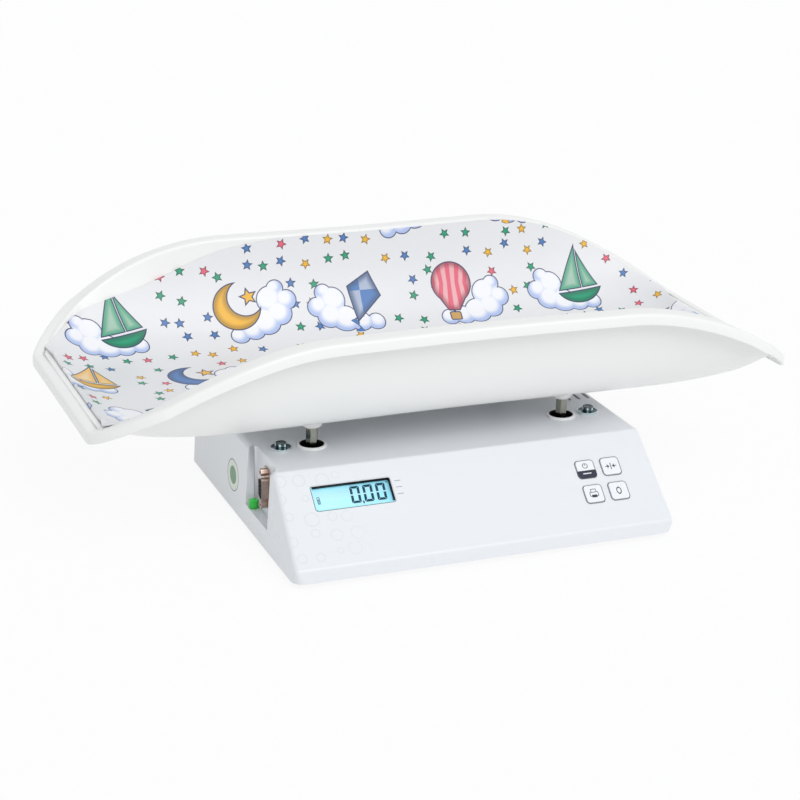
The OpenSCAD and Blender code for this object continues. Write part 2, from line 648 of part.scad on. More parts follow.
module key_switches() color("dimgray") on_panel() key_spots(all_keys)
    translate([0, 0, -panel_board_depth]) {
        block(switch_w, switch_w, switch_h, 0.5);
        cylinder(d = switch_button_d, h = switch_h + switch_button_h);
    }
module key(k) color("white") on_panel() translate(key_place(k)) {
    translate([0, 0, -key_cap_depth - 0.1])
        block(key_w, key_l, key_cap_depth + 0.1 + key_proud, key_r);
    translate([0, 0, -key_cap_depth - key_flange_t])
        block(key_w + 2 * key_flange_w, key_l + 2 * key_flange_w, key_flange_t, key_r);
    translate([0, 0, -key_stem_depth]) cylinder(d = key_stem_d, h = key_stem_depth - key_cap_depth);
}
module key_power() key([0, 0]);
module key_tare() key([1, 0]);
module key_print() key([0, 1]);
module key_zero() key([1, 1]);

// ---- Main board and battery ----

board_l = 116;
board_w = 52;
board_mid = [0, base_d - wall - 17.3 - board_w / 2];
board_lift = 8;
board_z = plate_t + board_lift;
board_hole_in = 4;
board_spots = [for (sx = [-1, 1], sy = [-1, 1])
    [board_mid[0] + sx * (board_l / 2 - board_hole_in), board_mid[1] + sy * (board_w / 2 - board_hole_in)]];
chip_w = 14;
socket_h = 9;
part_x = board_l * 0.3;
part_y = board_w * 0.17;
module main_board() color("seagreen") placed() translate([board_mid[0], board_mid[1], board_z])
    board(board_l, board_w, [for (p = board_spots) [p[0] - board_mid[0], p[1] - board_mid[1], 0]], 1.7);
module board_parts() color("darkslategray") placed()
    translate([board_mid[0], board_mid[1], board_z + board_t]) {
        translate([-part_x / 4, part_y / 2, 0]) block(chip_w, chip_w, 1.6, 0.4);
        translate([part_x / 2, -part_y, 0]) block(chip_w * 0.7, chip_w / 2, 2, 0.4);
        for (y = [-part_y, part_y]) {
            translate([-part_x, y, 0]) block(chip_w * 1.3, chip_w / 2, socket_h, 0.6);
            translate([part_x, y, 0]) cylinder(r = chip_w * 0.32, h = socket_h + 2);
        }
        translate([part_x / 4, 1.6 * part_y, 0]) cylinder(d = chip_w * 0.8, h = socket_h - 1);
    }
module board_standoffs() color("silver") placed() translate([0, 0, plate_t]) at(board_spots) {
    ring(3.2, 1.5, board_z - plate_t);
}
cell_r = 7.1;
cell_len = 50;
cell_pitch = 14.6;
cells = 6;
holder_wall = 1.5;
holder_h = 11;
holder_w = cells * cell_pitch + 2 * holder_wall;
holder_l = cell_len + 1 + 2 * holder_wall;
holder_mid = [0, tray_y - cell_w / 2 - 20.7 - holder_l / 2];
holder_floor = 1.6;
module battery_holder() color("black") placed() translate([holder_mid[0], holder_mid[1], plate_t])
    difference() {
        block(holder_w, holder_l, holder_h, holder_wall);
        translate([0, 0, holder_floor])
            block(holder_w - 2 * holder_wall, holder_l - 2 * holder_wall, holder_h, 0.6);
    }
module battery_cells() color("steelblue") placed()
    for (i = [0:cells - 1])
        translate([holder_mid[0] + (i - (cells - 1) / 2) * cell_pitch, holder_mid[1] - cell_len / 2,
            plate_t + holder_floor + cell_r]) rotate([-90, 0, 0]) {
            cylinder(r = cell_r, h = cell_len - 1.2);
            cylinder(r = 2.6, h = cell_len);
        }

// ---- Connector recess ----

serial_flange_w = 12.5;
serial_flange_l = 31;
serial_shell_w = 8.8;
serial_shell_l = 17.4;
serial_out = 6;
serial_hole_w = 11;
serial_hole_l = 19.6;
jack_pitch = 25;
// Connector space: x across the recess, y up, z out of the recess wall.
module on_serial() placed() translate([recess_x, serial_y, serial_z]) rotate([90, 0, -90]) children();
module d_outline(w, l, r) hull() {
    for (s = [-1, 1]) {
        translate([w / 2 - r, s * (l / 2 - r)]) circle(r, $fn = 16);
        translate([-w / 2 + r, s * (l / 2 - r - 1.4)]) circle(r, $fn = 16);
    }
}
module connector_shell() color("tan") on_serial() difference() {
    union() {
        block(serial_flange_w, serial_flange_l, 0.8, 2);
        linear_extrude(serial_out) d_outline(serial_shell_w, serial_shell_l, 2.4);
    }
    translate([0, 0, -cut])
        linear_extrude(serial_out + 2 * cut) d_outline(serial_shell_w - 1, serial_shell_l - 1, 2);
    for (s = [-1, 1]) translate([0, s * jack_pitch / 2, -cut]) cylinder(r = 1.7, h = 3);
}
module connector_insert() color("black") on_serial() difference() {
    union() {
        translate([0, 0, -8]) linear_extrude(8 + serial_out - 0.2)
            d_outline(serial_shell_w - 1.2, serial_shell_l - 1.2, 1.9);
        translate([0, 0, -10]) block(10.4, 18.8, 9.6, 1);
    }
    for (i = [0:4]) translate([1.42, (i - 2) * 2.77, 0]) cylinder(r = 0.65, h = serial_out + cut);
    for (i = [0:3]) translate([-1.42, (i - 1.5) * 2.77, 0]) cylinder(r = 0.65, h = serial_out + cut);
}
module connector_jack_screws() color("rosybrown") on_serial()
    for (s = [-1, 1]) translate([0, s * jack_pitch / 2, 0]) {
        translate([0, 0, 0.8]) difference() {
            hexagon(5, 5);
            translate([0, 0, 1]) cylinder(r = 1.3, h = 5);
        }
        translate([0, 0, -wall - 3]) cylinder(r = 1.55, h = wall + 4);
        translate([0, 0, -wall - 2.4]) hexagon(5, 2.4);
    }
level_x = recess_x - level_d / 2 - 0.5;
module level_case() color("honeydew") placed() translate([level_x, level_y, recess_floor]) {
    r = level_d / 2;
    rotate_extrude() polygon([[0, 0], [r, 0], [r, 0.9], [r - 0.3, 1.2], [r - 0.3, level_h - 0.3],
        [r - 0.6, level_h], [r - 0.9, level_h], [r - 0.9, 0.9], [0, 0.9]]);
}
module level_fluid() color("limegreen") placed() translate([level_x, level_y, recess_floor + 0.9])
    cylinder(r = level_d / 2 - 0.95, h = level_h - 1.2);

inlet_r = 4.1;
inlet_flange_r = 5.6;
inlet_bore_r = 2.8;
inlet_depth = 14;
inlet_y = base_d - side_draft * inlet_z / (base_h - edge_r) + 0.35;
// Inlet space: z out of the back wall, from the flange's seat.
module on_inlet() placed() translate([inlet_x, inlet_y, inlet_z]) rotate([-90, 0, 0]) children();
module power_inlet() color("black") on_inlet() {
    difference() {
        union() {
            translate([0, 0, -inlet_depth]) cylinder(r = inlet_r - 0.1, h = inlet_depth + 1);
            cylinder(r = inlet_flange_r, h = 1.6);
        }
        translate([0, 0, 4 - inlet_depth]) cylinder(r = inlet_bore_r, h = inlet_depth);
    }
    translate([0, 0, -wall - 3.2]) ring(inlet_flange_r, inlet_r - 0.2, 2.4);
}
module inlet_pin() color("silver") on_inlet()
    translate([0, 0, 4 - inlet_depth]) cylinder(r = 1, h = inlet_depth - 4);

// ---- Weighing frame ----

module load_cell() color("gainsboro") placed() translate([0, tray_y, cell_z]) difference() {
    bore_r = 7.5;
    bore_x = 12;
    translate([-cell_l / 2, -cell_w / 2, 0]) cube([cell_l, cell_w, cell_h]);
    for (s = [-1, 1]) translate([s * bore_x, cell_w / 2 + cut, cell_h / 2]) rotate([90, 0, 0])
        cylinder(r = bore_r, h = cell_w + 2 * cut);
    translate([-bore_x, -cell_w / 2 - cut, cell_h / 2 - 3]) cube([2 * bore_x, cell_w + 2 * cut, 6]);
    for (x = fixed_holes) translate([x, 0, -cut]) cylinder(r = m6_r + thread_gap, h = cell_h + 2 * cut);
    for (x = free_holes) translate([x, 0, -cut]) cylinder(r = m6_r + clear, h = cell_h + 2 * cut);
}
module spacer(xs) difference() {
    translate([(xs[0] + xs[1]) / 2, 0, 0]) block(spacer_l, cell_w, spacer_t, 1);
    for (x = xs) translate([x, 0, -cut]) cylinder(r = m6_r + 0.2, h = spacer_t + 2 * cut);
}
module cell_lower_spacer() color("silver") placed() translate([0, tray_y, plate_t]) spacer(fixed_holes);
module cell_upper_spacer() color("silver") placed()
    translate([0, tray_y, upper_spacer_z]) spacer(free_holes);
module cell_lower_screws() color("gray") placed() for (x = fixed_holes) translate([x, tray_y, 0]) {
    cylinder(r1 = 6, r2 = m6_r, h = 2.7);
    cylinder(r = m6_r, h = cell_z + cell_screw_in);
}
module cell_upper_bolts() color("gray") placed() for (x = free_holes)
    translate([x, tray_y, spider_z + spider_t]) {
        hex_head(nut_af, 4);
        translate([0, 0, -spider_t - spacer_t - cell_screw_in])
            cylinder(r = m6_r, h = spider_t + spacer_t + cell_screw_in + 0.5);
    }
module overload_stops() color("silver") placed() at(stop_spots) {
    translate([0, 0, 0.5]) cylinder(r = m6_r, h = spider_z - stop_gap - 0.5);
    translate([0, 0, plate_t]) hexagon(nut_af, nut_h);
}
spider_window_l = post_span_x * 0.17;
spider_window_x = [-post_span_x * 0.33, -post_span_x * 0.11];
module spider() color("lightgray") placed() translate([0, tray_y, spider_z]) difference() {
    union() {
        linear_extrude(spider_t) {
            square([post_span_x, cell_w], center = true);
            for (s = [-1, 1]) translate([s * post_span_x / 2, 0])
                rounded(spider_w, post_span_y + spider_w, spider_w / 2 - 0.01);
        }
        for (p = posts) translate([p[0], p[1] - tray_y, 0]) cylinder(r = 9, h = spider_t + 2);
    }
    for (p = posts) translate([p[0], p[1] - tray_y, -cut]) cylinder(r = m6_r + 0.1, h = spider_t + 4);
    for (x = free_holes) translate([x, 0, -cut]) cylinder(r = m6_r + 0.2, h = spider_t + 2 * cut);
    for (x = spider_window_x) translate([x, 0, -cut])
        block(spider_window_l, cell_w - 14, spider_t + 2 * cut, 4);
    for (sx = [-1, 1], sy = [-1, 1])
        translate([sx * post_span_x / 2, sy * (post_span_y / 4 + 8), -cut])
            block(spider_w - 12, 18, spider_t + 2 * cut, 3.5);
}
post_thread_l = 14;
module platform_posts() color("slategray") placed() at(posts) difference() {
    union() {
        translate([0, 0, post_seat]) hexagon(post_af, post_top - post_seat);
        translate([0, 0, spider_z - nut_h - 1]) cylinder(r = m6_r, h = post_seat - spider_z + nut_h + 2);
    }
    translate([0, 0, post_top - post_thread_l]) cylinder(r = m5_r + thread_gap, h = post_thread_l + cut);
}
module post_nuts() color("silver") placed() translate([0, 0, spider_z - nut_h]) at(posts) difference() {
    hexagon(nut_af, nut_h);
    translate([0, 0, -cut]) cylinder(r = m6_r + thread_gap, h = nut_h + 2 * cut);
}

// ---- Tray and mat ----

module tray() color("whitesmoke") on_tray() {
    inner = [for (s = steps) pan_ring(s, tray_t)];
    outer = [for (i = [len(steps) - 2:-1:0]) pan_ring(steps[i], 0)];
    top = rim_ring(0, 0.6, 0);
    rings = concat(
        inner,
        [between(inner[len(inner) - 1], top, 0.6), top],
        [rim_ring(1, -3, 0.4), rim_ring(1, -0.8, 1.4), rim_ring(1, 0, 3.2), rim_ring(1, 0, lip_h)],
        [rim_ring(1, -2.2, lip_h), rim_ring(1, -2.4, 4.2), rim_ring(1, -4, 3.3)],
        [rim_ring(0, 2.2, 3.2), rim_ring(0, 0.3, 5)],
        outer);
    spots = [for (p = posts) [p[0], p[1] - tray_y]];
    difference() {
        union() {
            loft(rings, pan_point(0, 0, tray_t), pan_point(0, 0, 0));
            for (p = spots) translate([p[0], p[1], post_top])
                boss(pan_z(p[0], p[1]) + tray_t / 2 - post_top);
        }
        for (p = spots) translate([p[0], p[1], 0]) {
            translate([0, 0, post_top - cut]) cylinder(r = m5_r + 0.2, h = tray_floor - post_top + 10);
            translate([0, 0, screw_top - tray_screw_head]) cylinder(r1 = m5_r + 0.2, r2 = m5_head_r + 0.3,
                h = tray_screw_head);
            translate([0, 0, screw_top - 0.01]) cylinder(r = m5_head_r + 0.3, h = tray_t);
        }
    }
}
// Boss with a rounded foot, as wide at the bottom as the post it sits on.
module boss(h) {
    r0 = boss_foot_d / 2;
    r1 = boss_d / 2;
    bowl = [for (a = [0:15:90]) [r0 + (r1 - r0) * sin(a), 1.5 * (r1 - r0) * (1 - cos(a))]];
    rotate_extrude() polygon(concat([[0, 0]], bowl, [[r1, h], [0, h]]));
}
screw_top = pan_z(post_span_x / 2, post_span_y / 2) + tray_t - 0.5;
module tray_screws() color("silver") on_tray() for (p = posts)
    translate([p[0], p[1] - tray_y, 0]) {
        translate([0, 0, screw_top - tray_screw_head - 0.05])
            cylinder(r1 = m5_r, r2 = m5_head_r, h = tray_screw_head);
        translate([0, 0, post_top - post_thread_l + 2])
            cylinder(r = m5_r, h = screw_top - post_top + post_thread_l - 4);
    }

mat_gap = 0.9;
mat_rows = 30;
mat_cols = 18;
function mat_share(x, left, mid, right, sag) = let (
    k = x < 0 ? x / mat_left : x / mat_right)
    mid + ((x < 0 ? left : right) - mid) * k * k * k - (x < 0 ? sag : 0) * pow(sin(180 * k * k), 2);
function mat_y(x, v) = half_w(min(abs(x), rim_end_x)) * (v > 0
    ? sin(90 * v) * mat_share(x, mat_back_left, mat_back_mid, mat_back_right, mat_back_sag)
    : sin(90 * v) * mat_share(x, mat_front_left, mat_front_mid, mat_front_right, 0));
function mat_point(i, j, lift) = let (
    x = (mat_left + mat_right + (mat_right - mat_left) * sin(90 * (2 * i / mat_rows - 1))) / 2,
    y = mat_y(x, 2 * j / mat_cols - 1)) pan_point(x, y, lift);
module mat() color("ivory") on_tray() {
    n = mat_cols + 1;
    m = mat_rows + 1;
    low = tray_t + mat_gap;
    points = concat(
        [for (i = [0:mat_rows], j = [0:mat_cols]) mat_point(i, j, low + mat_t)],
        [for (i = [0:mat_rows], j = [0:mat_cols]) mat_point(i, j, low)]);
    edge = concat([for (j = [0:mat_cols - 1]) j], [for (i = [0:mat_rows - 1]) i * n + mat_cols],
        [for (j = [mat_cols:-1:1]) mat_rows * n + j], [for (i = [mat_rows:-1:1]) i * n]);
    e = len(edge);
    faces = concat(
        [for (i = [0:mat_rows - 1], j = [0:mat_cols - 1]) let (a = i * n + j)
            each [[a, a + 1, a + n], [a + 1, a + n + 1, a + n]]],
        [for (i = [0:mat_rows - 1], j = [0:mat_cols - 1]) let (a = m * n + i * n + j)
            each [[a, a + n, a + 1], [a + 1, a + n, a + n + 1]]],
        [for (k = [0:e - 1]) let (a = edge[k], b = edge[(k + 1) % e])
            each [[a, a + m * n, b], [b, a + m * n, b + m * n]]]);
    polyhedron(points, faces);
}

base_cover();
base_plate();
foot_inserts();
case_screws();
foot_stud_front_left();
foot_pad_front_left();
foot_stud_front_right();
foot_pad_front_right();
foot_stud_back_left();
foot_pad_back_left();
foot_stud_back_right();
foot_pad_back_right();
cover_pillars();
pillar_screws();
cover_bolts();
cover_washers();
post_grommets();
display_bezel();
display_window();
lcd_glass();
lcd_backlight();
display_board();
keypad_board();
key_switches();
panel_board_screws();
key_power();
key_tare();
key_print();
key_zero();
main_board();
board_parts();
board_standoffs();
battery_holder();
battery_cells();
connector_shell();
connector_insert();
connector_jack_screws();
level_case();
level_fluid();
power_inlet();
inlet_pin();
load_cell();
cell_lower_spacer();
cell_lower_screws();
overload_stops();
cell_upper_spacer();
cell_upper_bolts();
spider();
platform_posts();
post_nuts();
tray();
tray_screws();
mat();
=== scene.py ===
import json
import math

import bmesh
import bpy
from mathutils import Euler, Matrix, Vector

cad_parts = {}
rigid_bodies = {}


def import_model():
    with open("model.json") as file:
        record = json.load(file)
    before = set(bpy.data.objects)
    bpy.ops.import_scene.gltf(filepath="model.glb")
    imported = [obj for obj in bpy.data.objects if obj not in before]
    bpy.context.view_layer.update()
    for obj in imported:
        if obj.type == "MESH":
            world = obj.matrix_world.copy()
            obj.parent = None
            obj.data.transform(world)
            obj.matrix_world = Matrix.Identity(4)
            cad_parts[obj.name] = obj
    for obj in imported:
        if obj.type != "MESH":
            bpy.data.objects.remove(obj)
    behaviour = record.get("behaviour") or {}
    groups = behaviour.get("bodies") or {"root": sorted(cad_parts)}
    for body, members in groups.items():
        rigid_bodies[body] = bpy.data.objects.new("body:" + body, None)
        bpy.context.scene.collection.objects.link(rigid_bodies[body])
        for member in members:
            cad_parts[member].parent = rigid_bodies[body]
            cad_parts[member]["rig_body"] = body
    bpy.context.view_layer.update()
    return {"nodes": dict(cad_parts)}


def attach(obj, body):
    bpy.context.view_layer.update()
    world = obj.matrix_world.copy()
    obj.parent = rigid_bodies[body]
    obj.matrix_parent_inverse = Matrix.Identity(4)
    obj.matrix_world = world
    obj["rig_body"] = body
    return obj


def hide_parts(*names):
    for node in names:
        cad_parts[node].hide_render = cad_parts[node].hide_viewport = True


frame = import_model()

nodes = frame["nodes"]
mm = 0.001
print("frame loaded:", len(nodes), "nodes")


class Wire:
    # one output of a shader node, used in plain Python sums
    def __init__(self, finish, socket):
        self.finish = finish
        self.socket = socket

    def __abs__(self):
        return self.finish.math("ABSOLUTE", self)

    def __neg__(self):
        return self.finish.math("MULTIPLY", self, -1.0)


def signFor(operation, flipped=False):
    # what one of Python's signs does to a Wire, with a number on its right or its left
    if flipped:
        return lambda wire, other: wire.finish.math(operation, other, wire)
    return lambda wire, other: wire.finish.math(operation, wire, other)


for sign, operation in {"add": "ADD", "sub": "SUBTRACT", "mul": "MULTIPLY", "truediv": "DIVIDE",
                        "mod": "FLOORED_MODULO"}.items():
    setattr(Wire, f"__{sign}__", signFor(operation))
    setattr(Wire, f"__r{sign}__", signFor(operation, flipped=True))
Wire.__lt__ = signFor("LESS_THAN")
Wire.__gt__ = signFor("GREATER_THAN")


class Finish:
    # a material, with short ways to add its nodes
    def __init__(self, name, color=(0.8, 0.8, 0.8), **sockets):
        self.material = bpy.data.materials.new(name)
        self.material.use_nodes = True
        self.tree = self.material.node_tree
        self.tree.nodes.clear()
        self.shader = self.tree.nodes.new("ShaderNodeBsdfPrincipled")
        self.output = self.tree.nodes.new("ShaderNodeOutputMaterial")
        self.tree.links.new(self.shader.outputs[0], self.output.inputs[0])
        self.set("Base Color", (*color, 1.0))
        for socketName, value in sockets.items():
            self.set(socketName.replace("_", " "), value)

    def feed(self, socket, value):
        if isinstance(value, Wire):
            self.tree.links.new(value.socket, socket)
        elif isinstance(value, (tuple, list)) and len(value) == 3 and len(socket.default_value) == 4:
            socket.default_value = (*value, 1.0)
        else:
            socket.default_value = value

    def set(self, socketName, value):
        self.feed(self.shader.inputs[socketName], value)

    def node(self, kind, settings=None, values=None, out=0):
        made = self.tree.nodes.new(kind)
        for key, value in (settings or {}).items():
            if key == "stops":
                ramp = made.color_ramp
                while len(ramp.elements) > 1:
                    ramp.elements.remove(ramp.elements[-1])
                for i, (place, color) in enumerate(value):
                    stop = ramp.elements[0] if i == 0 else ramp.elements.new(place)
                    stop.position = place
                    stop.color = (*color, 1.0)
            elif key == "interpolation":
                made.color_ramp.interpolation = value
            else:
                setattr(made, key, value)
        for key, value in (values or {}).items():
            self.feed(made.inputs[key], value)
        return Wire(self, made.outputs[out])

    def math(self, operation, *values):
        return self.node("ShaderNodeMath", {"operation": operation}, dict(enumerate(values)))

    def vector(self, operation, *values, out=0):
        return self.node("ShaderNodeVectorMath", {"operation": operation}, dict(enumerate(values)), out)

    def mix(self, factor, first, second):
        return self.node("ShaderNodeMix", {"data_type": "RGBA"}, {0: factor, 6: first, 7: second}, 2)

    def part(self, vector, axis):
        return self.node("ShaderNodeSeparateXYZ", None, {0: vector}, "XYZ".index(axis))

    def joined(self, x, y, z=0.0):
        return self.node("ShaderNodeCombineXYZ", None, {0: x, 1: y, 2: z})

    def place(self):
        return self.node("ShaderNodeTexCoord", None, None, 3)

    def step(self, value, low, high):
        # 0 below low, 1 above high, soft between them
        return self.node("ShaderNodeMapRange", {"interpolation_type": "SMOOTHSTEP"},
                         {0: value, 1: low, 2: high, 3: 0.0, 4: 1.0})

    def spot(self):
        # where the point is, in millimetres along X, Y and Z
        where = self.place()
        return [self.part(where, axis) * 1000 for axis in "XYZ"]

    def far(self, x, y):
        return self.math("SQRT", x * x + y * y)

    def noise(self, scale, detail=2.0, where=None):
        return self.node("ShaderNodeTexNoise", None,
                         {"Vector": where or self.place(), "Scale": scale, "Detail": detail})

    def bump(self, height, strength, distance):
        self.set("Normal", self.node("ShaderNodeBump", None,
                                     {"Strength": strength, "Distance": distance, "Height": height}))

    def rough(self, tone, low, high):
        self.set("Roughness", self.node("ShaderNodeMapRange", None, {0: tone, 3: low, 4: high}))

    def tint(self, tone, first, second):
        self.set("Base Color", self.mix(tone, first, second))

    def dice(self, x, y, seed, out=1):
        # chance numbers for one cell of a pattern
        return self.node("ShaderNodeTexWhiteNoise", {"noise_dimensions": "3D"},
                         {"Vector": self.joined(x, y, seed)}, out)

    def least(self, first, *others):
        for other in others:
            first = self.math("MINIMUM", first, other)
        return first

    def most(self, first, *others):
        for other in others:
            first = self.math("MAXIMUM", first, other)
        return first


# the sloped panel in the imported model, in millimetres
panel = {"top": 64.9, "line": -94.6, "run": 57.8, "rise": 51.4}
panelAngle = math.atan2(panel["rise"], panel["run"])


def panelPlace(finish):
    # millimetres across the panel, up its slope and out of it, from the line where it meets the top
    x, y, z = finish.spot()
    y = y - panel["line"]
    z = z - panel["top"]
    cosine, sine = math.cos(panelAngle), math.sin(panelAngle)
    return x, y * cosine + z * sine, z * cosine - y * sine


def boxField(finish, x, y, cx, cy, halfX, halfY, radius):
    # distance to a box with round corners, below 0 inside it
    dx = abs(x - cx) - (halfX - radius)
    dy = abs(y - cy) - (halfY - radius)
    inside = finish.least(finish.most(dx, dy), 0.0)
    dx = finish.most(dx, 0.0)
    dy = finish.most(dy, 0.0)
    return finish.far(dx, dy) + inside - radius


def inked(finish, field, soft=0.08):
    # 1 inside a shape, 0 outside, with a narrow soft edge
    return 1 - finish.step(field, -soft, soft)


def cornerReach(finish, spot):
    # millimetres from the nearest of four mirrored places on the housing's top
    x, y, _ = finish.spot()
    return finish.far(abs(x) - spot["x"], abs(y - tray["y"]) - spot["y"])


housing = {"white": (0.825, 0.85, 0.885), "shade": (0.80, 0.83, 0.87)}
ticks = {"x": -55.4, "rows": (17.6, 22.6, 28.0), "length": 4.6, "width": 0.35, "ink": (0.08, 0.09, 0.11)}
ghost = {"cell": 15.0, "least": 2.0, "spread": 4.0, "line": 0.35, "share": 0.3, "from": -118.0,
         "until": -70.0, "ink": (0.55, 0.60, 0.68)}
oval = {"x": -143.0, "y": -5.0, "z": 29.8, "wide": 13.5, "high": 12.0, "layers": (
    (1.0, 0.03, (0.02, 0.05, 0.03)), (0.94, 0.03, (0.72, 0.80, 0.70)), (0.55, 0.05, (0.05, 0.22, 0.08)))}


def housingFinish():
    made = Finish("housingWhite", Coat_Weight=0.25, Coat_Roughness=0.14, IOR=1.5, Specular_IOR_Level=0.35)
    cloud = made.noise(9.0, 3.0)
    x, up, out = panelPlace(made)
    onPanel = made.step(out, -0.6, -0.3)
    color = made.mix(cloud * 0.25, housing["white"], housing["shade"])
    # a very pale print of rings at the panel's left
    cell = ghost["cell"]
    column = made.math("FLOOR", x / cell)
    row = made.math("FLOOR", up / cell)
    dice = made.dice(column, row, 5.0)
    dx = x - (column + 0.3 + made.part(dice, "X") * 0.4) * cell
    dy = up - (row + 0.3 + made.part(dice, "Y") * 0.4) * cell
    radius = made.part(dice, "Z") * ghost["spread"] + ghost["least"]
    rings = inked(made, abs(made.far(dx, dy) - radius) - ghost["line"], 0.5)
    shown = made.step(x, ghost["until"], ghost["from"]) * onPanel * ghost["share"]
    color = made.mix(rings * shown, color, ghost["ink"])
    # three short marks beside the display
    halfLong, halfWide = ticks["length"] / 2, ticks["width"] / 2
    bars = [boxField(made, x, up, ticks["x"], -row, halfLong, halfWide, 0.1) for row in ticks["rows"]]
    color = made.mix(inked(made, made.least(*bars)) * onPanel, color, ticks["ink"])
    # a plain oval on the left wall, green with a pale rim
    wallX, wallY, wallZ = made.spot()
    reach = made.far((wallY - oval["y"]) / oval["wide"], (wallZ - oval["z"]) / oval["high"])
    onLeft = wallX < oval["x"]
    for edge, soft, paint in oval["layers"]:
        color = made.mix(made.step(reach, edge + soft, edge) * onLeft, color, paint)
    made.set("Base Color", color)
    made.rough(cloud, 0.24, 0.34)
    made.bump(made.noise(260.0, 2.0), 0.04, 0.0006)
    return made.material


def trayFinish():
    made = Finish("trayWhite", Coat_Weight=0.15, Coat_Roughness=0.2, IOR=1.49)
    cloud = made.noise(5.0, 3.0)
    made.tint(cloud * 0.4, (0.93, 0.928, 0.915), (0.90, 0.90, 0.895))
    made.rough(cloud, 0.3, 0.42)
    made.bump(made.noise(420.0, 3.0), 0.05, 0.0005)
    return made.material


def metalFinish(name, color, low, high):
    made = Finish(name, Metallic=1.0)
    cloud = made.noise(180.0, 4.0)
    made.tint(cloud, color, tuple(c * 0.72 for c in color))
    made.rough(cloud, low, high)
    made.bump(made.noise(1080.0, 2.0), 0.15, 0.0002)
    return made.material


# colours of the zinc's bloom, and under rim the pale colour of the painted highlight
blueZinc = {"bloom": [(0.3, (0.10, 0.20, 0.23)), (0.48, (0.22, 0.36, 0.40)), (0.62, (0.40, 0.52, 0.58)),
                      (0.8, (0.36, 0.32, 0.40))], "rim": (0.75, 0.85, 0.88)}


def boltFinish(name, tone, rim):
    # blue passivated zinc, with a green and pink bloom, and a bright rim that is a painted highlight
    made = Finish(name, Metallic=1.0)
    cloud = made.noise(210.0, 3.0)
    bloom = made.node("ShaderNodeValToRGB", {"stops": blueZinc["bloom"]}, {0: cloud})
    # pale past the given reach from the centre: a painted highlight on the washer's rim and the head's
    # corners
    edge = made.step(cornerReach(made, bolt), rim - 0.5, rim)
    made.tint(edge, made.vector("MULTIPLY", bloom, (tone,) * 3), blueZinc["rim"])
    made.rough(cloud, 0.16, 0.34)
    made.bump(made.noise(1400.0, 2.0), 0.2, 0.0002)
    return made.material


def ringFinish():
    # white ring, near black at the edge of its hole and down inside it
    made = Finish("grommetWhite", IOR=1.5)
    cloud = made.noise(70.0, 3.0)
    # near black within about 0.4 mm of the hole's edge and down its inner wall
    nearHole = made.step(cornerReach(made, posts), ringSize["hole"] + 0.45, ringSize["hole"] + 0.3)
    white = made.mix(cloud * 0.3, (0.93, 0.935, 0.94), (0.86, 0.87, 0.88))
    made.tint(nearHole, white, (0.006, 0.006, 0.008))
    made.rough(cloud, 0.25, 0.4)
    return made.material


def postFinish():
    # drawn hexagon bar, nickel plated, with fine lines along it
    made = Finish("nickelBar", Metallic=1.0)
    lines = made.noise(1500.0, 2.0, made.vector("MULTIPLY", made.place(), (1.0, 1.0, 0.03)))
    stain = made.noise(90.0, 3.0)
    made.tint(stain, (0.44, 0.44, 0.38), (0.17, 0.18, 0.15))
    made.rough(lines, 0.1, 0.26)
    made.bump(lines, 0.12, 0.0002)
    return made.material


def plasticFinish(name, color, low, high, grain=0.1, gloss=0.5):
    # slow change of roughness and tone, with a fine grain in the surface
    made = Finish(name, color, Specular_IOR_Level=gloss)
    cloud = made.noise(70.0, 3.0)
    made.tint(cloud * 0.3, color, tuple(c * 0.86 for c in color))
    made.rough(cloud, low, high)
    made.bump(made.noise(900.0, 2.0), grain, 0.0004)
    return made.material


digits = {"left": -90.6, "pitch": 9.75, "width": 7.3, "top": 15.1, "bottom": 28.5, "stroke": 1.9, "gap": 0.5,
          "slant": 0.05, "round": 1.3, "count": 3}
comma = {"after": 1.4, "lift": 0.2, "wide": 0.55, "tall": 1.1, "round": 0.4}
pointer = {"x": -61.0, "tip": 16.0, "top": 14.0}
battery = {"x": -115.0, "down": 23.1, "wide": 0.85, "tall": 2.6, "line": 0.22, "barPitch": 1.1, "barGap": 0.3}
screen = {"lit": (0.50, 0.82, 0.90), "far": (0.36, 0.71, 0.83), "ink": (0.0, 0.03, 0.06), "glow": 0.42}


def digitField(finish, across, down, cx):
    # a nought of separate bars, with gaps at mid height and across each corner
    middle = (digits["top"] + digits["bottom"]) / 2
    half = (digits["bottom"] - digits["top"]) / 2
    inset = digits["stroke"] * 0.9
    outer = boxField(finish, across, down, cx, middle, digits["width"] / 2, half, digits["round"])
    ring = abs(outer + digits["stroke"] / 2) - digits["stroke"] / 2
    fromMiddle = abs(down - middle)
    corner = abs(fromMiddle - (half - inset) - (abs(across - cx) - (digits["width"] / 2 - inset)))
    return finish.most(ring, digits["gap"] - fromMiddle, digits["gap"] * 0.32 - corner)


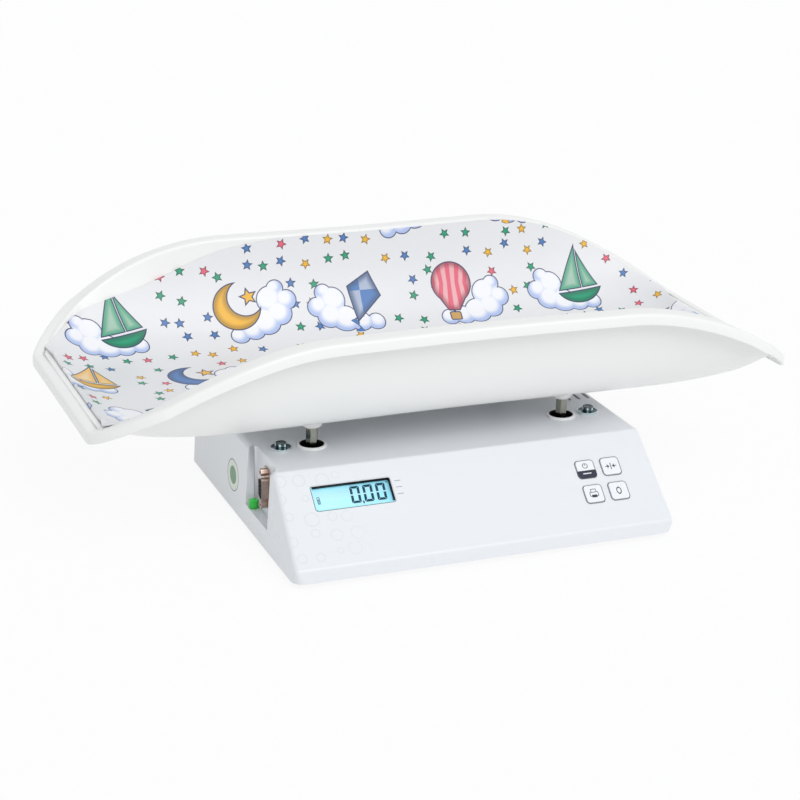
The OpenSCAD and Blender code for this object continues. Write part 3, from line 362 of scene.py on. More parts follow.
def displayFinish():
    made = Finish("displayCyan", Roughness=0.25)
    x, up, _ = panelPlace(made)
    down = -up
    slanted = x + (down - (digits["top"] + digits["bottom"]) / 2) * digits["slant"]
    firstX = digits["left"] + digits["width"] / 2
    fields = [digitField(made, slanted, down, firstX + i * digits["pitch"]) for i in range(digits["count"])]
    fields.append(boxField(made, slanted, down, digits["left"] + digits["width"] + comma["after"],
                           digits["bottom"] - comma["lift"], comma["wide"], comma["tall"], comma["round"]))
    fields.append(made.most(abs(x - pointer["x"]) - (pointer["tip"] - down), pointer["top"] - down))
    case = boxField(made, x, down, battery["x"], battery["down"], battery["wide"], battery["tall"], 0.2)
    fields.append(abs(case) - battery["line"])
    bars = boxField(made, x, down, battery["x"], battery["down"] + 0.4, 0.45, 1.7, 0.05)
    fields.append(made.most(bars, battery["barGap"] - (down % battery["barPitch"])))
    # paler towards the lower left, where the lamp is
    lamp = made.step(x * 0.6 - down + made.noise(18.0, 1.0) * 6, -98.0, -50.0)
    color = made.mix(lamp, screen["lit"], screen["far"])
    color = made.mix(inked(made, made.least(*fields), 0.12), color, screen["ink"])
    made.set("Base Color", color)
    made.set("Emission Color", color)
    made.set("Emission Strength", screen["glow"])
    return made.material


lcd = {"x": -90.5, "down": 23.75, "wide": 61.0, "tall": 20.5, "round": 2.2, "line": 0.45, "lip": 1.3,
       "lap": 0.5, "deep": -3.2}


def bezelFinish():
    # black, with the display's colour on the narrow lip at the left and below, and deep in the opening
    made = Finish("bezelBlack", Specular_IOR_Level=0.15)
    x, up, out = panelPlace(made)
    down = -up
    halfWide, halfTall = lcd["wide"] / 2, lcd["tall"] / 2
    edge = boxField(made, x, down, lcd["x"], lcd["down"], halfWide, halfTall, lcd["round"])
    side = made.most(lcd["x"] - halfWide + lcd["lip"] - x, down - (lcd["down"] + halfTall - lcd["lip"]))
    onFace = made.step(out, -0.5, -0.3)
    lip = inked(made, edge + lcd["line"], 0.15) * made.step(side, 0.0, 0.05) * onFace
    lip = made.most(lip, made.step(out, lcd["deep"], lcd["deep"] - 0.2))
    cloud = made.noise(80.0, 3.0)
    black = made.mix(cloud, (0.004, 0.005, 0.007), (0.009, 0.010, 0.013))
    # the panel's white laps over the outer half of the frame above and at the right
    lapped = made.step(edge, -lcd["lap"] - 0.15, -lcd["lap"]) * made.step(side, 0.05, 0.0) * onFace
    black = made.mix(lapped, black, (0.84, 0.87, 0.91))
    made.tint(lip, black, (0.45, 0.85, 0.92))
    made.rough(cloud, 0.5, 0.7)
    return made.material


def windowFinish(name, color, cover):
    made = Finish(name, color, IOR=1.46, Specular_IOR_Level=0.12, Alpha=cover)
    made.rough(made.noise(40.0, 3.0), 0.03, 0.09)
    return made.material


keyPrint = {"x": 101.1, "down": 38.3, "pitch": 20.4, "wide": 15.2, "tall": 14.8, "line": 0.6, "inset": 0.3,
            "round": 3.0, "footTop": -1.1, "barY": -3.6, "barWide": 3.4, "barTall": 0.45, "stroke": 0.28}


def keyFinish(name, column, row, drawMark, darkFoot=False):
    made = Finish(name, Coat_Weight=0.1, Coat_Roughness=0.2)
    x, up, out = panelPlace(made)
    x = x - (keyPrint["x"] + (column - 0.5) * keyPrint["pitch"])
    y = up + (keyPrint["down"] + (row - 0.5) * keyPrint["pitch"])
    edge = boxField(made, x, y, 0.0, 0.0, keyPrint["wide"] / 2, keyPrint["tall"] / 2, keyPrint["round"])
    frameLine = inked(made, abs(edge + keyPrint["inset"]) - keyPrint["line"] / 2, 0.12)
    color = made.mix(frameLine, (0.88, 0.90, 0.93), (0.15, 0.18, 0.22))
    if darkFoot:
        foot = inked(made, made.most(edge, y - keyPrint["footTop"]), 0.1)
        color = made.mix(foot, color, (0.006, 0.014, 0.035))
        bar = boxField(made, x, y, 0.0, keyPrint["barY"], keyPrint["barWide"], keyPrint["barTall"], 0.4)
        color = made.mix(inked(made, bar, 0.1), color, (0.75, 0.78, 0.82))
    sign = inked(made, drawMark(made, x, y), 0.1) * made.step(out, 0.3, 0.5)
    made.tint(sign, color, (0.02, 0.03, 0.05))
    made.rough(made.noise(120.0, 3.0), 0.28, 0.4)
    made.bump(made.noise(1500.0, 2.0), 0.06, 0.0003)
    return made.material


def powerMark(finish, x, y):
    # broken ring with a bar
    stroke = keyPrint["stroke"]
    y = y - 2.7
    around = abs(finish.far(x, y) - 1.9) - stroke
    opened = finish.most(around, -finish.most(abs(x) - 0.75, -y))
    return finish.least(opened, boxField(finish, x, y, 0.0, 1.3, stroke, 1.2, 0.2))


def tareMark(finish, x, y):
    # two arrows closing on a bar
    bar = boxField(finish, x, y, 0.0, 0.0, 0.32, 2.6, 0.2)
    shaft = boxField(finish, abs(x), y, 3.1, 0.0, 1.5, 0.3, 0.2)
    head = finish.most(abs(y) - (abs(x) - 1.1), abs(x) - 2.9)
    return finish.least(bar, shaft, head)


def printMark(finish, x, y):
    # printer with its sheet
    body = abs(boxField(finish, x, y, 0.0, -0.3, 3.3, 1.6, 0.5)) - 0.26
    paper = abs(boxField(finish, x, y, 0.0, 2.5, 2.0, 1.2, 0.2)) - 0.24
    return finish.least(body, paper, boxField(finish, x, y, 0.0, -1.9, 2.1, 1.1, 0.2))


def zeroMark(finish, x, y):
    return abs(finish.math("SQRT", x * x * 2.2 + y * y) - 2.5) - 0.5


matPrint = {"starCell": 17.5, "star": 4.8, "cellX": 98.0, "cellY": 80.0, "shiftX": 6.0, "shiftY": 4.0,
            "size": 1.26, "clear": 31.0, "seed": 3.0, "bare": 0.12, "line": 0.6}
paper = {"white": (0.84, 0.845, 0.86), "shade": (0.80, 0.805, 0.825), "outline": (0.015, 0.025, 0.10)}
inks = {"green": (0.0, 0.33, 0.17), "pink": (0.80, 0.12, 0.19), "blue": (0.06, 0.19, 0.48),
        "yellow": (0.90, 0.48, 0.02)}


def inkRamp(finish, places, value):
    # one of the inks, picked by a number from 0 to 1
    stops = list(zip(places, inks.values()))
    return finish.node("ShaderNodeValToRGB", {"interpolation": "CONSTANT", "stops": stops}, {0: value})


def matCell(finish, point):
    # the print's big cell that holds a point: its number, and the point's place from its picture
    u = finish.part(point, "X") + matPrint["shiftX"]
    v = finish.part(point, "Y") + matPrint["shiftY"]
    row = finish.math("FLOOR", v / matPrint["cellY"])
    lean = (row % 2.0) * matPrint["cellX"] * 0.5
    column = finish.math("FLOOR", (u + lean) / matPrint["cellX"])
    dice = finish.dice(column, row, matPrint["seed"])
    cx = (column + 0.5) * matPrint["cellX"] - lean + (finish.part(dice, "X") - 0.5) * 18
    cy = (row + 0.5) * matPrint["cellY"] + (finish.part(dice, "Y") - 0.5) * 12
    return column, row, u - cx, v - cy, finish.part(dice, "Z")


def starField(finish, x, y, turn, size):
    sector = 2 * math.pi / 5
    inner = 0.46
    angle = finish.math("ARCTAN2", y, x) + turn
    folded = abs((angle % sector) - sector / 2)
    reach = finish.far(x, y)
    sx = reach * finish.math("COSINE", folded) - size
    sy = reach * finish.math("SINE", folded)
    nx, ny = inner * math.sin(sector / 2), 1 - inner * math.cos(sector / 2)
    long = math.hypot(nx, ny)
    return sx * (nx / long) + sy * (ny / long)


def discField(finish, point, cx, cy, radius):
    return finish.vector("DISTANCE", point, (cx, cy, 0.0), out=1) - radius


def edgeField(x, y, nx, ny, reach):
    # half plane, below 0 on the side away from its normal
    long = math.hypot(nx, ny)
    return x * (nx / long) + y * (ny / long) - reach


cloudPrint = {"puffs": ((10, -11, 9), (20, -8, 8), (27, -1, 6.5), (17, 2, 9), (0, -14, 7), (-10, -15, 6),
                        (22, 8, 5.5)),
              "shiftX": -1.2, "shiftY": 2.0, "less": 1.6, "blue": (0.45, 0.56, 0.86),
              "white": (0.93, 0.94, 0.97)}
balloon = {"x": -6.0, "y": 9.0, "radius": 13.5, "foot": -9.5, "neck": 8.1, "basketY": -14.0}
boat = {"x": -4.0, "y": 3.0, "radius": 17.0, "deck": -5.5, "boom": -3.0, "mast": -5.4, "jib": -7.0}
moon = {"x": -5.0, "y": 4.0, "radius": 15.0, "biteX": 2.0, "biteY": 8.0, "bite": 12.0, "star": 5.0}
kite = {"lean": 0.35, "x": 3.0, "y": -7.0, "top": 9.0, "foot": 9.5, "tailTop": -12.0, "tailEnd": -28.0,
        "bow": 6.0}


def cloudFields(finish, x, y):
    # the puffs, and their lit parts a little up and to the left
    point = finish.joined(x, y)
    puffs = cloudPrint["puffs"]
    shiftX, shiftY, less = cloudPrint["shiftX"], cloudPrint["shiftY"], cloudPrint["less"]
    lit = [(cx + shiftX, cy + shiftY, radius - less) for cx, cy, radius in puffs]
    return (finish.least(*[discField(finish, point, *puff) for puff in puffs]),
            finish.least(*[discField(finish, point, *puff) for puff in lit]))


def balloonField(finish, x, y):
    bag = discField(finish, finish.joined(x, y), balloon["x"], balloon["y"], balloon["radius"])
    skirt = finish.most(edgeField(abs(x - balloon["x"]), y, 1.0, -0.62, balloon["neck"]),
                        balloon["foot"] - y, y - 6)
    basket = boxField(finish, x, y, balloon["x"], balloon["basketY"], 3.4, 2.8, 0.8)
    return finish.least(bag, skirt), basket


def boatField(finish, x, y):
    disc = discField(finish, finish.joined(x, y), boat["x"], boat["y"], boat["radius"])
    above = boat["boom"] - y
    main = finish.most(edgeField(x, y, 1.0, 0.55, 7.4), boat["mast"] - x, above)
    fore = finish.most(edgeField(x, y, -1.0, 0.42, 14.5), x - boat["jib"], above)
    return finish.most(disc, y - boat["deck"]), finish.least(main, fore)


def moonField(finish, x, y):
    point = finish.joined(x, y)
    disc = discField(finish, point, moon["x"], moon["y"], moon["radius"])
    bite = discField(finish, point, moon["biteX"], moon["biteY"], moon["bite"])
    return finish.most(disc, -bite), starField(finish, x - 4, y - 8, 0.3, moon["star"])


def kiteField(finish, x, y):
    cosine, sine = math.cos(kite["lean"]), math.sin(kite["lean"])
    kx = x * cosine + y * sine + kite["x"]
    ky = y * cosine - x * sine + kite["y"]
    side = abs(kx)
    sail = finish.most(side * 0.75 + ky * 0.66 - kite["top"], side * 0.88 - ky * 0.48 - kite["foot"])
    sway = abs(kx - finish.math("SINE", ky * 0.55) * 2.4)
    ended = kite["tailEnd"] - ky
    tail = finish.most(sway - 0.45, ky - kite["tailTop"], ended)
    beat = abs((ky % kite["bow"]) - kite["bow"] / 2)
    bows = finish.most(sway * 0.8 + beat - 2.1, ky - kite["tailTop"] + 4, ended)
    return sail, finish.least(tail, bows)


def matFinish():
    made = Finish("matVinyl", Coat_Weight=0.25, Coat_Roughness=0.3, IOR=1.5)
    uv = made.node("ShaderNodeUVMap", {"uv_map": "clothUv"})
    point = made.vector("MULTIPLY", uv, (1000.0,) * 3)
    u = made.part(point, "X")
    v = made.part(point, "Y")
    color = made.mix(made.noise(7.0, 2.0), paper["white"], paper["shade"])

    # small stars on a loose grid, left out where a picture is
    cell = matPrint["starCell"]
    cellU = made.math("FLOOR", u / cell)
    cellV = made.math("FLOOR", v / cell)
    dice = made.dice(cellU, cellV, 7.0)
    second = made.dice(cellU, cellV, 19.0, 0)
    starU = (cellU + 0.5) * cell + (made.part(dice, "X") - 0.5) * cell * 0.5
    starV = (cellV + 0.5) * cell + (made.part(dice, "Y") - 0.5) * cell * 0.5
    stars = starField(made, u - starU, v - starV, made.part(dice, "Z") * 6.28, matPrint["star"])
    _, _, awayX, awayY, _ = matCell(made, made.joined(starU, starV))
    clearance = made.math("SQRT", (awayX - 4) * (awayX - 4) * 0.8 + awayY * awayY * 1.15) - matPrint["clear"]
    shown = made.step(clearance, -0.1, 0.1) * (second > matPrint["bare"])
    starInk = inkRamp(made, (0.0, 0.27, 0.52, 0.77), second * 5.3 % 1.0)
    starEdge = made.vector("MULTIPLY", starInk, (0.3, 0.3, 0.35))
    starColor = made.mix(inked(made, stars + 0.7, 0.2), starEdge, starInk)
    color = made.mix(inked(made, stars, 0.15) * shown, color, starColor)

    # pictures: a cloud with a balloon, boat, moon or kite before it
    column, row, x, y, spare = matCell(made, point)
    turn = (spare - 0.5) * 0.5
    flip = 1 - 2 * ((column + row) % 2.0)
    x = x * flip / matPrint["size"]
    y = y / matPrint["size"]
    cosTurn = made.math("COSINE", turn)
    sinTurn = made.math("SINE", turn)
    px = x * cosTurn + y * sinTurn
    py = y * cosTurn - x * sinTurn
    pick = (column + row * 3.0) % 4.0
    hue = (column * 3.0 + row * 2.0 + 8.0) % 4.0
    ink = inkRamp(made, (0.0, 0.2, 0.45, 0.7), hue / 4.0 + 0.02)
    deep = made.vector("MULTIPLY", ink, (0.42, 0.42, 0.45))
    pale = made.mix(0.4, ink, (0.95, 0.93, 0.88))
    puff, puffTop = cloudFields(made, px, py)
    color = made.mix(inked(made, puff - 0.25, 0.15), color, paper["outline"])
    puffColor = made.mix(inked(made, puffTop, 2.2), cloudPrint["blue"], cloudPrint["white"])
    color = made.mix(inked(made, puff + 0.4, 0.15), color, puffColor)

    def paint(color, field, fill, wanted, line=matPrint["line"]):
        on = made.math("COMPARE", pick, wanted, 0.5)
        color = made.mix(inked(made, field - line, 0.15) * on, color, paper["outline"])
        return made.mix(inked(made, field + line * 0.3, 0.15) * on, color, fill)

    def shaded(field, light, dark):
        # a broad darker edge, as a painted picture has
        return made.mix(made.step(field, -4.5, -0.5) * 0.8, light, dark)

    bag, basket = balloonField(made, px, py)
    bulge = 1.15 - abs(py - balloon["y"]) * 0.02
    stripes = made.step(made.math("SINE", (px - balloon["x"]) * bulge), -0.15, 0.15)
    color = paint(color, bag, shaded(bag, made.mix(stripes, ink, pale), deep), 0.0)
    color = paint(color, basket, (0.62, 0.36, 0.12), 0.0)
    hull, sails = boatField(made, px, py)
    color = paint(color, sails, shaded(sails, pale, ink), 1.0)
    color = paint(color, hull, shaded(hull, ink, deep), 1.0)
    crescent, little = moonField(made, px, py)
    color = paint(color, crescent, shaded(crescent, ink, deep), 2.0)
    color = paint(color, little, inks["yellow"], 2.0)
    sail, tail = kiteField(made, px, py)
    quarter = made.math("COMPARE", (px > -3) + (py > 7), 1.0, 0.5)
    color = paint(color, tail, ink, 3.0, 0.3)
    color = paint(color, sail, shaded(sail, made.mix(quarter, ink, pale), deep), 3.0)

    made.set("Base Color", color)
    slow = made.noise(24.0, 2.0)
    made.rough(slow, 0.38, 0.52)
    made.bump(made.noise(1300.0, 3.0) + slow * 3, 0.12, 0.0006)
    return made.material


# the tray's form, as the solid has it
tray = {"y": 6.3, "lift": 3.5, "floor": 82.9, "floorEnd": 97.5, "rimHigh": 168.2, "rimLow": 103.1,
        "levelX": 108.0, "endX": 264.2, "midW": 129.2, "shoulderX": 162.0, "shoulderW": 133.6,
        "cornerW": 123.3, "cornerR": 39.9, "cornerPower": 1.32, "flangeSide": 12.5, "flangeEnd": 9.3,
        "wall": 2.6, "roll": 3.0, "sidePower": 6.15, "endPower": 6.0, "endWall": 60.0,
        "rimPower": 2.06}


def ease(a, a0, a1, v0, v1):
    return v0 + (v1 - v0) * (1 - math.cos(math.pi * (a - a0) / (a1 - a0))) / 2


def halfWidth(x):
    cornerX = tray["endX"] - tray["cornerR"]
    if x <= tray["shoulderX"]:
        return ease(x, 0, tray["shoulderX"], tray["midW"], tray["shoulderW"])
    if x <= cornerX:
        past = (x - tray["shoulderX"]) / (cornerX - tray["shoulderX"])
        return tray["shoulderW"] - (tray["shoulderW"] - tray["cornerW"]) * past ** 2
    past = (min(x, tray["endX"] - 0.01) - cornerX) / tray["cornerR"]
    power = tray["cornerPower"]
    return tray["cornerW"] - tray["cornerR"] * (1 - (1 - past ** power) ** (1 / power))


def rimZ(x):
    share = max(0.0, x - tray["levelX"]) / (tray["endX"] - tray["levelX"])
    return tray["rimHigh"] - (tray["rimHigh"] - tray["rimLow"]) * share ** tray["rimPower"]


def floorZ(x):
    return tray["floor"] + (tray["floorEnd"] - tray["floor"]) * min(1.0, x / tray["endX"]) ** tray["endPower"]


def trayZ(x, y):
    ax = min(abs(x), tray["endX"])
    side = min(1.0, abs(y) / halfWidth(ax)) ** tray["sidePower"]
    end = (ax / tray["endX"]) ** tray["endWall"]
    return floorZ(ax) + (rimZ(ax) - tray["roll"] - floorZ(ax)) * (side + end - side * end)


def trayNormal(x, y):
    d, qx, qy = 0.3, x * 0.997, y * 0.997
    gx = (trayZ(qx + d, qy) - trayZ(qx - d, qy)) / (2 * d)
    gy = (trayZ(qx, qy + d) - trayZ(qx, qy - d)) / (2 * d)
    return Vector((-gx, -gy, 1)).normalized()


def trayPoint(x, y, lift):
    return Vector((x, y, trayZ(x, y))) + lift * trayNormal(x, y)


def inFrame(p):
    return Vector((p[0], p[1] + tray["y"], p[2] + tray["lift"])) * mm


def stand(name, data):
    thing = bpy.data.objects.new(name, data)
    bpy.context.scene.collection.objects.link(thing)
    return thing


def smoothMesh(name, points, faces):
    mesh = bpy.data.meshes.new(name)
    mesh.from_pydata([tuple(p) for p in points], [], faces)
    mesh.validate()
    for face in mesh.polygons:
        face.use_smooth = True
    return mesh


def enrol(piece, body, node=None):
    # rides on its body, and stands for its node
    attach(piece, body)
    if node:
        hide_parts(node)
    return piece


def settle(piece):
    # turns what the modifiers make into the piece's own mesh
    shown = piece.evaluated_get(bpy.context.evaluated_depsgraph_get())
    mesh = bpy.data.meshes.new_from_object(shown)
    piece.modifiers.clear()
    piece.data = mesh


def smoothCopy(node, name, material, angle, bevel=0.0):
    # a merged copy of a CAD node with soft shading over its round stretches
    source = nodes[node]
    mesh = source.data.copy()
    mesh.name = name
    work = bmesh.new()
    work.from_mesh(mesh)
    bmesh.ops.remove_doubles(work, verts=work.verts, dist=1e-6)
    bmesh.ops.dissolve_limit(work, angle_limit=math.radians(0.5), verts=work.verts, edges=work.edges)
    work.to_mesh(mesh)
    work.free()
    mesh.materials.clear()
    mesh.materials.append(material)
    piece = stand(name, mesh)
    if bevel:
        cut = piece.modifiers.new("edge", "BEVEL")
        cut.width = bevel
        cut.segments = 2
        cut.limit_method = "ANGLE"
        cut.angle_limit = math.radians(40)
        settle(piece)
    for face in piece.data.polygons:
        face.use_smooth = True
    piece.data.set_sharp_from_angle(angle=math.radians(angle))
    weigh = piece.modifiers.new("shade", "WEIGHTED_NORMAL")
    weigh.keep_sharp = True
    weigh.weight = 100
    settle(piece)
    return enrol(piece, source["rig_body"], node)


def stack(rings, first=None, last=None, closed=False):
    # a skin through rings of points, ended by single points or joined end to start
    count, total = len(rings[0]), len(rings)
    points = [p for ring in rings for p in ring]
    faces = []
    for k in range(total if closed else total - 1):
        above = (k + 1) % total * count
        for i in range(count):
            j = (i + 1) % count
            faces.append((k * count + i, k * count + j, above + j, above + i))
    if first is not None:
        points.append(first)
        faces += [(len(points) - 1, (i + 1) % count, i) for i in range(count)]
    if last is not None:
        points.append(last)
        foot = (total - 1) * count
        faces += [(len(points) - 1, foot + i, foot + (i + 1) % count) for i in range(count)]
    return points, faces


def circle(radius, z, sides=48):
    return [Vector((radius * math.cos(a), -radius * math.sin(a), z)) for a in
            (2 * math.pi * i / sides for i in range(sides))]


def scatter(name, spots, unit, material, body, node=None, turn=(0, 0, 0)):
    # one small mesh on each of several spots, given in millimetres in the frame
    points, faces = unit
    unitMesh = smoothMesh(name + "Unit", [p * mm for p in points], faces)
    unitMesh.set_sharp_from_angle(angle=math.radians(38))
    single = stand(name + "Unit", unitMesh)
    piece = stand(name, smoothMesh(name, [Vector(p) * mm for p in spots], []))
    group = bpy.data.node_groups.new(name + "Repeat", "GeometryNodeTree")
    group.interface.new_socket("Spots", in_out="INPUT", socket_type="NodeSocketGeometry")
    unitIn = group.interface.new_socket("Unit", in_out="INPUT", socket_type="NodeSocketObject")
    turnIn = group.interface.new_socket("Turn", in_out="INPUT", socket_type="NodeSocketVector")
    group.interface.new_socket("Pieces", in_out="OUTPUT", socket_type="NodeSocketGeometry")
    enter, leave, info, euler, put, real, paint = [group.nodes.new(kind) for kind in (
        "NodeGroupInput", "NodeGroupOutput", "GeometryNodeObjectInfo", "FunctionNodeEulerToRotation",
        "GeometryNodeInstanceOnPoints", "GeometryNodeRealizeInstances", "GeometryNodeSetMaterial")]
    paint.inputs["Material"].default_value = material
    for source, target in (
            (enter.outputs["Spots"], put.inputs["Points"]), (enter.outputs["Unit"], info.inputs["Object"]),
            (enter.outputs["Turn"], euler.inputs[0]), (euler.outputs[0], put.inputs["Rotation"]),
            (info.outputs["Geometry"], put.inputs["Instance"]), (put.outputs[0], real.inputs[0]),
            (real.outputs[0], paint.inputs["Geometry"]), (paint.outputs[0], leave.inputs[0])):
        group.links.new(source, target)
    repeat = piece.modifiers.new("repeat", "NODES")
    repeat.node_group = group
    repeat[unitIn.identifier] = single
    repeat[turnIn.identifier] = turn
    settle(piece)
    bpy.data.objects.remove(single)
    return enrol(piece, body, node)


trayMesh = {"sideSteps": 26, "shoulderSteps": 12, "cornerSteps": 16, "endSteps": 18, "rings": 46}


def rimLine():
    cornerX = tray["endX"] - tray["cornerR"]
    sides, shoulders = trayMesh["sideSteps"], trayMesh["shoulderSteps"]
    span = cornerX - tray["shoulderX"]
    spots = [i * tray["shoulderX"] / sides for i in range(sides)]
    spots += [tray["shoulderX"] + i * span / shoulders for i in range(shoulders)]
    quarter = [(x, halfWidth(x)) for x in spots]
    power = 2 / tray["cornerPower"]
    for i in range(trayMesh["cornerSteps"] + 1):
        a = math.pi / 2 * i / trayMesh["cornerSteps"]
        quarter.append((cornerX + tray["cornerR"] * math.sin(a) ** power,
                        tray["cornerW"] - tray["cornerR"] * (1 - max(0.0, math.cos(a)) ** power)))
    straight = tray["cornerW"] - tray["cornerR"]
    ends = trayMesh["endSteps"]
    quarter += [(tray["endX"], straight * (1 - i / ends)) for i in range(1, ends)]
    line = quarter + [(tray["endX"], 0.0)]
    line += [(x, -y) for x, y in reversed(quarter[1:])]
    line += [(-x, -y) for x, y in quarter]
    line += [(-tray["endX"], 0.0)]
    line += [(-x, y) for x, y in reversed(quarter[1:])]
    return line


# the flange's section from the rim outward, down and back: a share of its width, then millimetres out
# and down, and for a bend the place it is pulled to, its end and its steps
flange = (((0.5, -1.2, 0.15),), ((1, -3.2, 0.4),), ((1, 0, 0.6), (1, 0, 3.4), 6), ((1, 0, 6.2),),
          ((1, 0, 8.6),), ((1, 0, 9.5), (1, -1.1, 9.5), 3), ((1, -2.2, 9.5), (1, -2.2, 8.5), 3),
          ((1, -2.3, 5.4),), ((1, -2.4, 3.4), (1, -4.4, 3.3), 3), ((0, 2.6, 3.2),),
          ((0, 0.6, 3.2), (0, 0.3, 5), 3))
boss = {"seat": 76.25, "foot": 5.3, "top": 8.0, "bore": 2.9}
posts = {"x": 100.5, "y": 57.5}


def makeTray(material):
    line = rimLine()
    count = len(line)
    outs = []
    for i in range(count):
        a, b = line[i - 1], line[(i + 1) % count]
        outs.append(Vector((-(b[1] - a[1]), b[0] - a[0])).normalized())

    def rimRing(share, out, down):
        ring = []
        for p, o in zip(line, outs):
            k = share * (tray["flangeSide"] + (tray["flangeEnd"] - tray["flangeSide"]) * o.x ** 2) + out
            ring.append(Vector((p[0] + k * o.x, p[1] + k * o.y, rimZ(abs(p[0])) - down)))
        return ring

    def arc(first, bend, last, steps):
        # a bow from one ring to another, pulled to the one between
        rings = []
        for s in range(1, steps + 1):
            t = s / steps
            spots = zip(first, bend, last)
            rings.append([a * (1 - t) ** 2 + b * 2 * t * (1 - t) + c * t * t for a, b, c in spots])
        return rings

    steps = [math.sin(math.pi / 2 * (k / trayMesh["rings"]) ** 0.8) for k in range(1, trayMesh["rings"] + 1)]
    inner = [[trayPoint(s * p[0], s * p[1], tray["wall"]) for p in line] for s in steps]
    outer = [[trayPoint(s * p[0], s * p[1], 0) for p in line] for s in reversed(steps)]
    top = rimRing(0, 0.6, 0)
    rise = [a - b for a, b in zip(inner[-1], inner[-2])]
    bend = []
    for a, d, t in zip(inner[-1], rise, top):
        reach = min((t.z - a.z) / max(d.z, 1e-6), 0.8 * (t - a).length / max(d.length, 1e-6))
        bend.append(a + d * reach)
    rings = inner + arc(inner[-1], bend, top, 5)
    for spot, *bow in flange:
        if bow:
            rings += arc(rings[-1], rimRing(*spot), rimRing(*bow[0]), bow[1])
        else:
            rings.append(rimRing(*spot))
    rings += outer
    points, faces = stack(rings, trayPoint(0, 0, tray["wall"]), trayPoint(0, 0, 0))

    # bosses that sit on the posts
    grow = boss["top"] - boss["foot"]
    bowl = [(boss["foot"] + grow * math.sin(a), boss["seat"] + 1.5 * grow * (1 - math.cos(a)))
            for a in (math.radians(k) for k in range(90, 14, -15))]
    profile = [(boss["top"] + 1.6, 83.3), (boss["top"] + 0.5, 82.4), (boss["top"], 81.0), *bowl]
    profile += [(boss["foot"], boss["seat"]), (boss["bore"], boss["seat"])]
    bossPoints, bossFaces = stack([circle(r, z) for r, z in profile])
    for px, py in [(sx * posts["x"], sy * posts["y"]) for sx in (-1, 1) for sy in (-1, 1)]:
        start = len(points)
        points += [p + Vector((px, py, 0)) for p in bossPoints]
        faces += [tuple(start + k for k in face) for face in bossFaces]
    mesh = smoothMesh("trayShell", [inFrame(p) for p in points], faces)
    mesh.materials.append(material)
    enrol(stand("trayShell", mesh), "platform", "tray")


bolt = {"x": 123.8, "y": 56.3, "half": 4.0, "head": 4.0, "shank": 2.5, "reach": 12.5, "washer": 0.8,
        "rim": 8.25, "dish": 0.66, "bore": 2.7}
ringSize = {"hole": 8.8, "neck": 10.0, "out": 11.2, "high": 1.6, "deep": 4.1, "groove": 2.55}
contact = {"x": -143.9, "y": -65.4, "z": 42.0, "row": 1.42, "pitch": 2.77, "tube": 0.6, "bore": 0.38,
           "long": 4.4}


def corners(x, y, z):
    return [(sx * x, tray["y"] + sy * y, z) for sx in (-1, 1) for sy in (-1, 1)]


def hexRing(z, drop=0.0):
    # round a hexagon, lower at its corners by a share of how far they stand out
    ring = []
    for p in circle(1.0, z):
        turn = math.atan2(p.y, p.x) % (math.pi / 3) - math.pi / 6
        reach = bolt["half"] / math.cos(turn)
        ring.append(Vector((p.x * reach, p.y * reach, z - drop * (reach - bolt["half"] * 0.94))))
    return ring


def makeBolts():
    high, deep, top = bolt["head"], -bolt["reach"], panel["top"]
    rings = [circle(bolt["half"] * 0.6, high - 0.2), circle(bolt["half"] * 0.94, high),
             hexRing(high, 0.7), hexRing(0.05), hexRing(0.0), circle(bolt["shank"], 0.0),
             circle(bolt["shank"], deep)]
    unit = stack(rings, Vector((0, 0, high - 0.25)), Vector((0, 0, deep)))
    scatter("boltHeads", corners(bolt["x"], bolt["y"], top + bolt["washer"]), unit, finishes["boltDark"],
            "base", "cover_bolts")
    bore, rim, thick, dish = bolt["bore"], bolt["rim"], bolt["washer"], bolt["dish"]
    profile = [(bore, thick), (bolt["half"] + 1.2, thick), (rim - 1.4, thick + 0.45),
               (rim - 0.6, thick + dish), (rim - 0.25, thick + dish), (rim, thick + 0.4), (rim, 0.3),
               (rim - 0.3, 0.0), (bore, 0.0)]
    unit = stack([circle(r, z) for r, z in profile], closed=True)
    scatter("boltWashers", corners(bolt["x"], bolt["y"], top), unit, finishes["bolt"], "base",
            "cover_washers")


def makeRings():
    hole, neck, out, high = ringSize["hole"], ringSize["neck"], ringSize["out"], ringSize["high"]
    groove, deep = -ringSize["groove"], -ringSize["deep"]
    profile = [(hole + 0.8 * (1 - math.cos(a)), high - 0.7 * (1 - math.sin(a)))
               for a in (math.radians(k) for k in range(0, 91, 30))]
    profile += [(out - 1.3 * (1 - math.sin(a)), high * math.cos(a))
                for a in (math.radians(k) for k in range(0, 91, 15))]
    profile += [(neck, 0.0), (neck, groove), (neck + 0.45, groove), (neck + 0.4, -3.4), (neck - 0.2, deep),
                (hole, deep)]
    unit = stack([circle(r, z) for r, z in profile], closed=True)
    scatter("postRings", corners(posts["x"], posts["y"], panel["top"]), unit, finishes["ring"], "base",
            "post_grommets")


def makeContacts():
    # two rows, of five and of four
    spots = []
    for side, count in ((-1, 5), (1, 4)):
        low = contact["z"] - (count - 1) / 2 * contact["pitch"]
        y = contact["y"] + contact["row"] * side
        spots += [(contact["x"], y, low + i * contact["pitch"]) for i in range(count)]
    bore, tube, end = contact["bore"], contact["tube"], -contact["long"]
    profile = [(bore, end + 1), (bore, -0.1), (bore + 0.1, 0.0), (tube - 0.1, 0.0), (tube, -0.1), (tube, end)]
    unit = stack([circle(r, z, 24) for r, z in profile], Vector((0, 0, end + 1)), Vector((0, 0, end)))
    scatter("connectorContacts", spots, unit, finishes["brass"], "base",
            turn=(0, -math.pi / 2, 0))


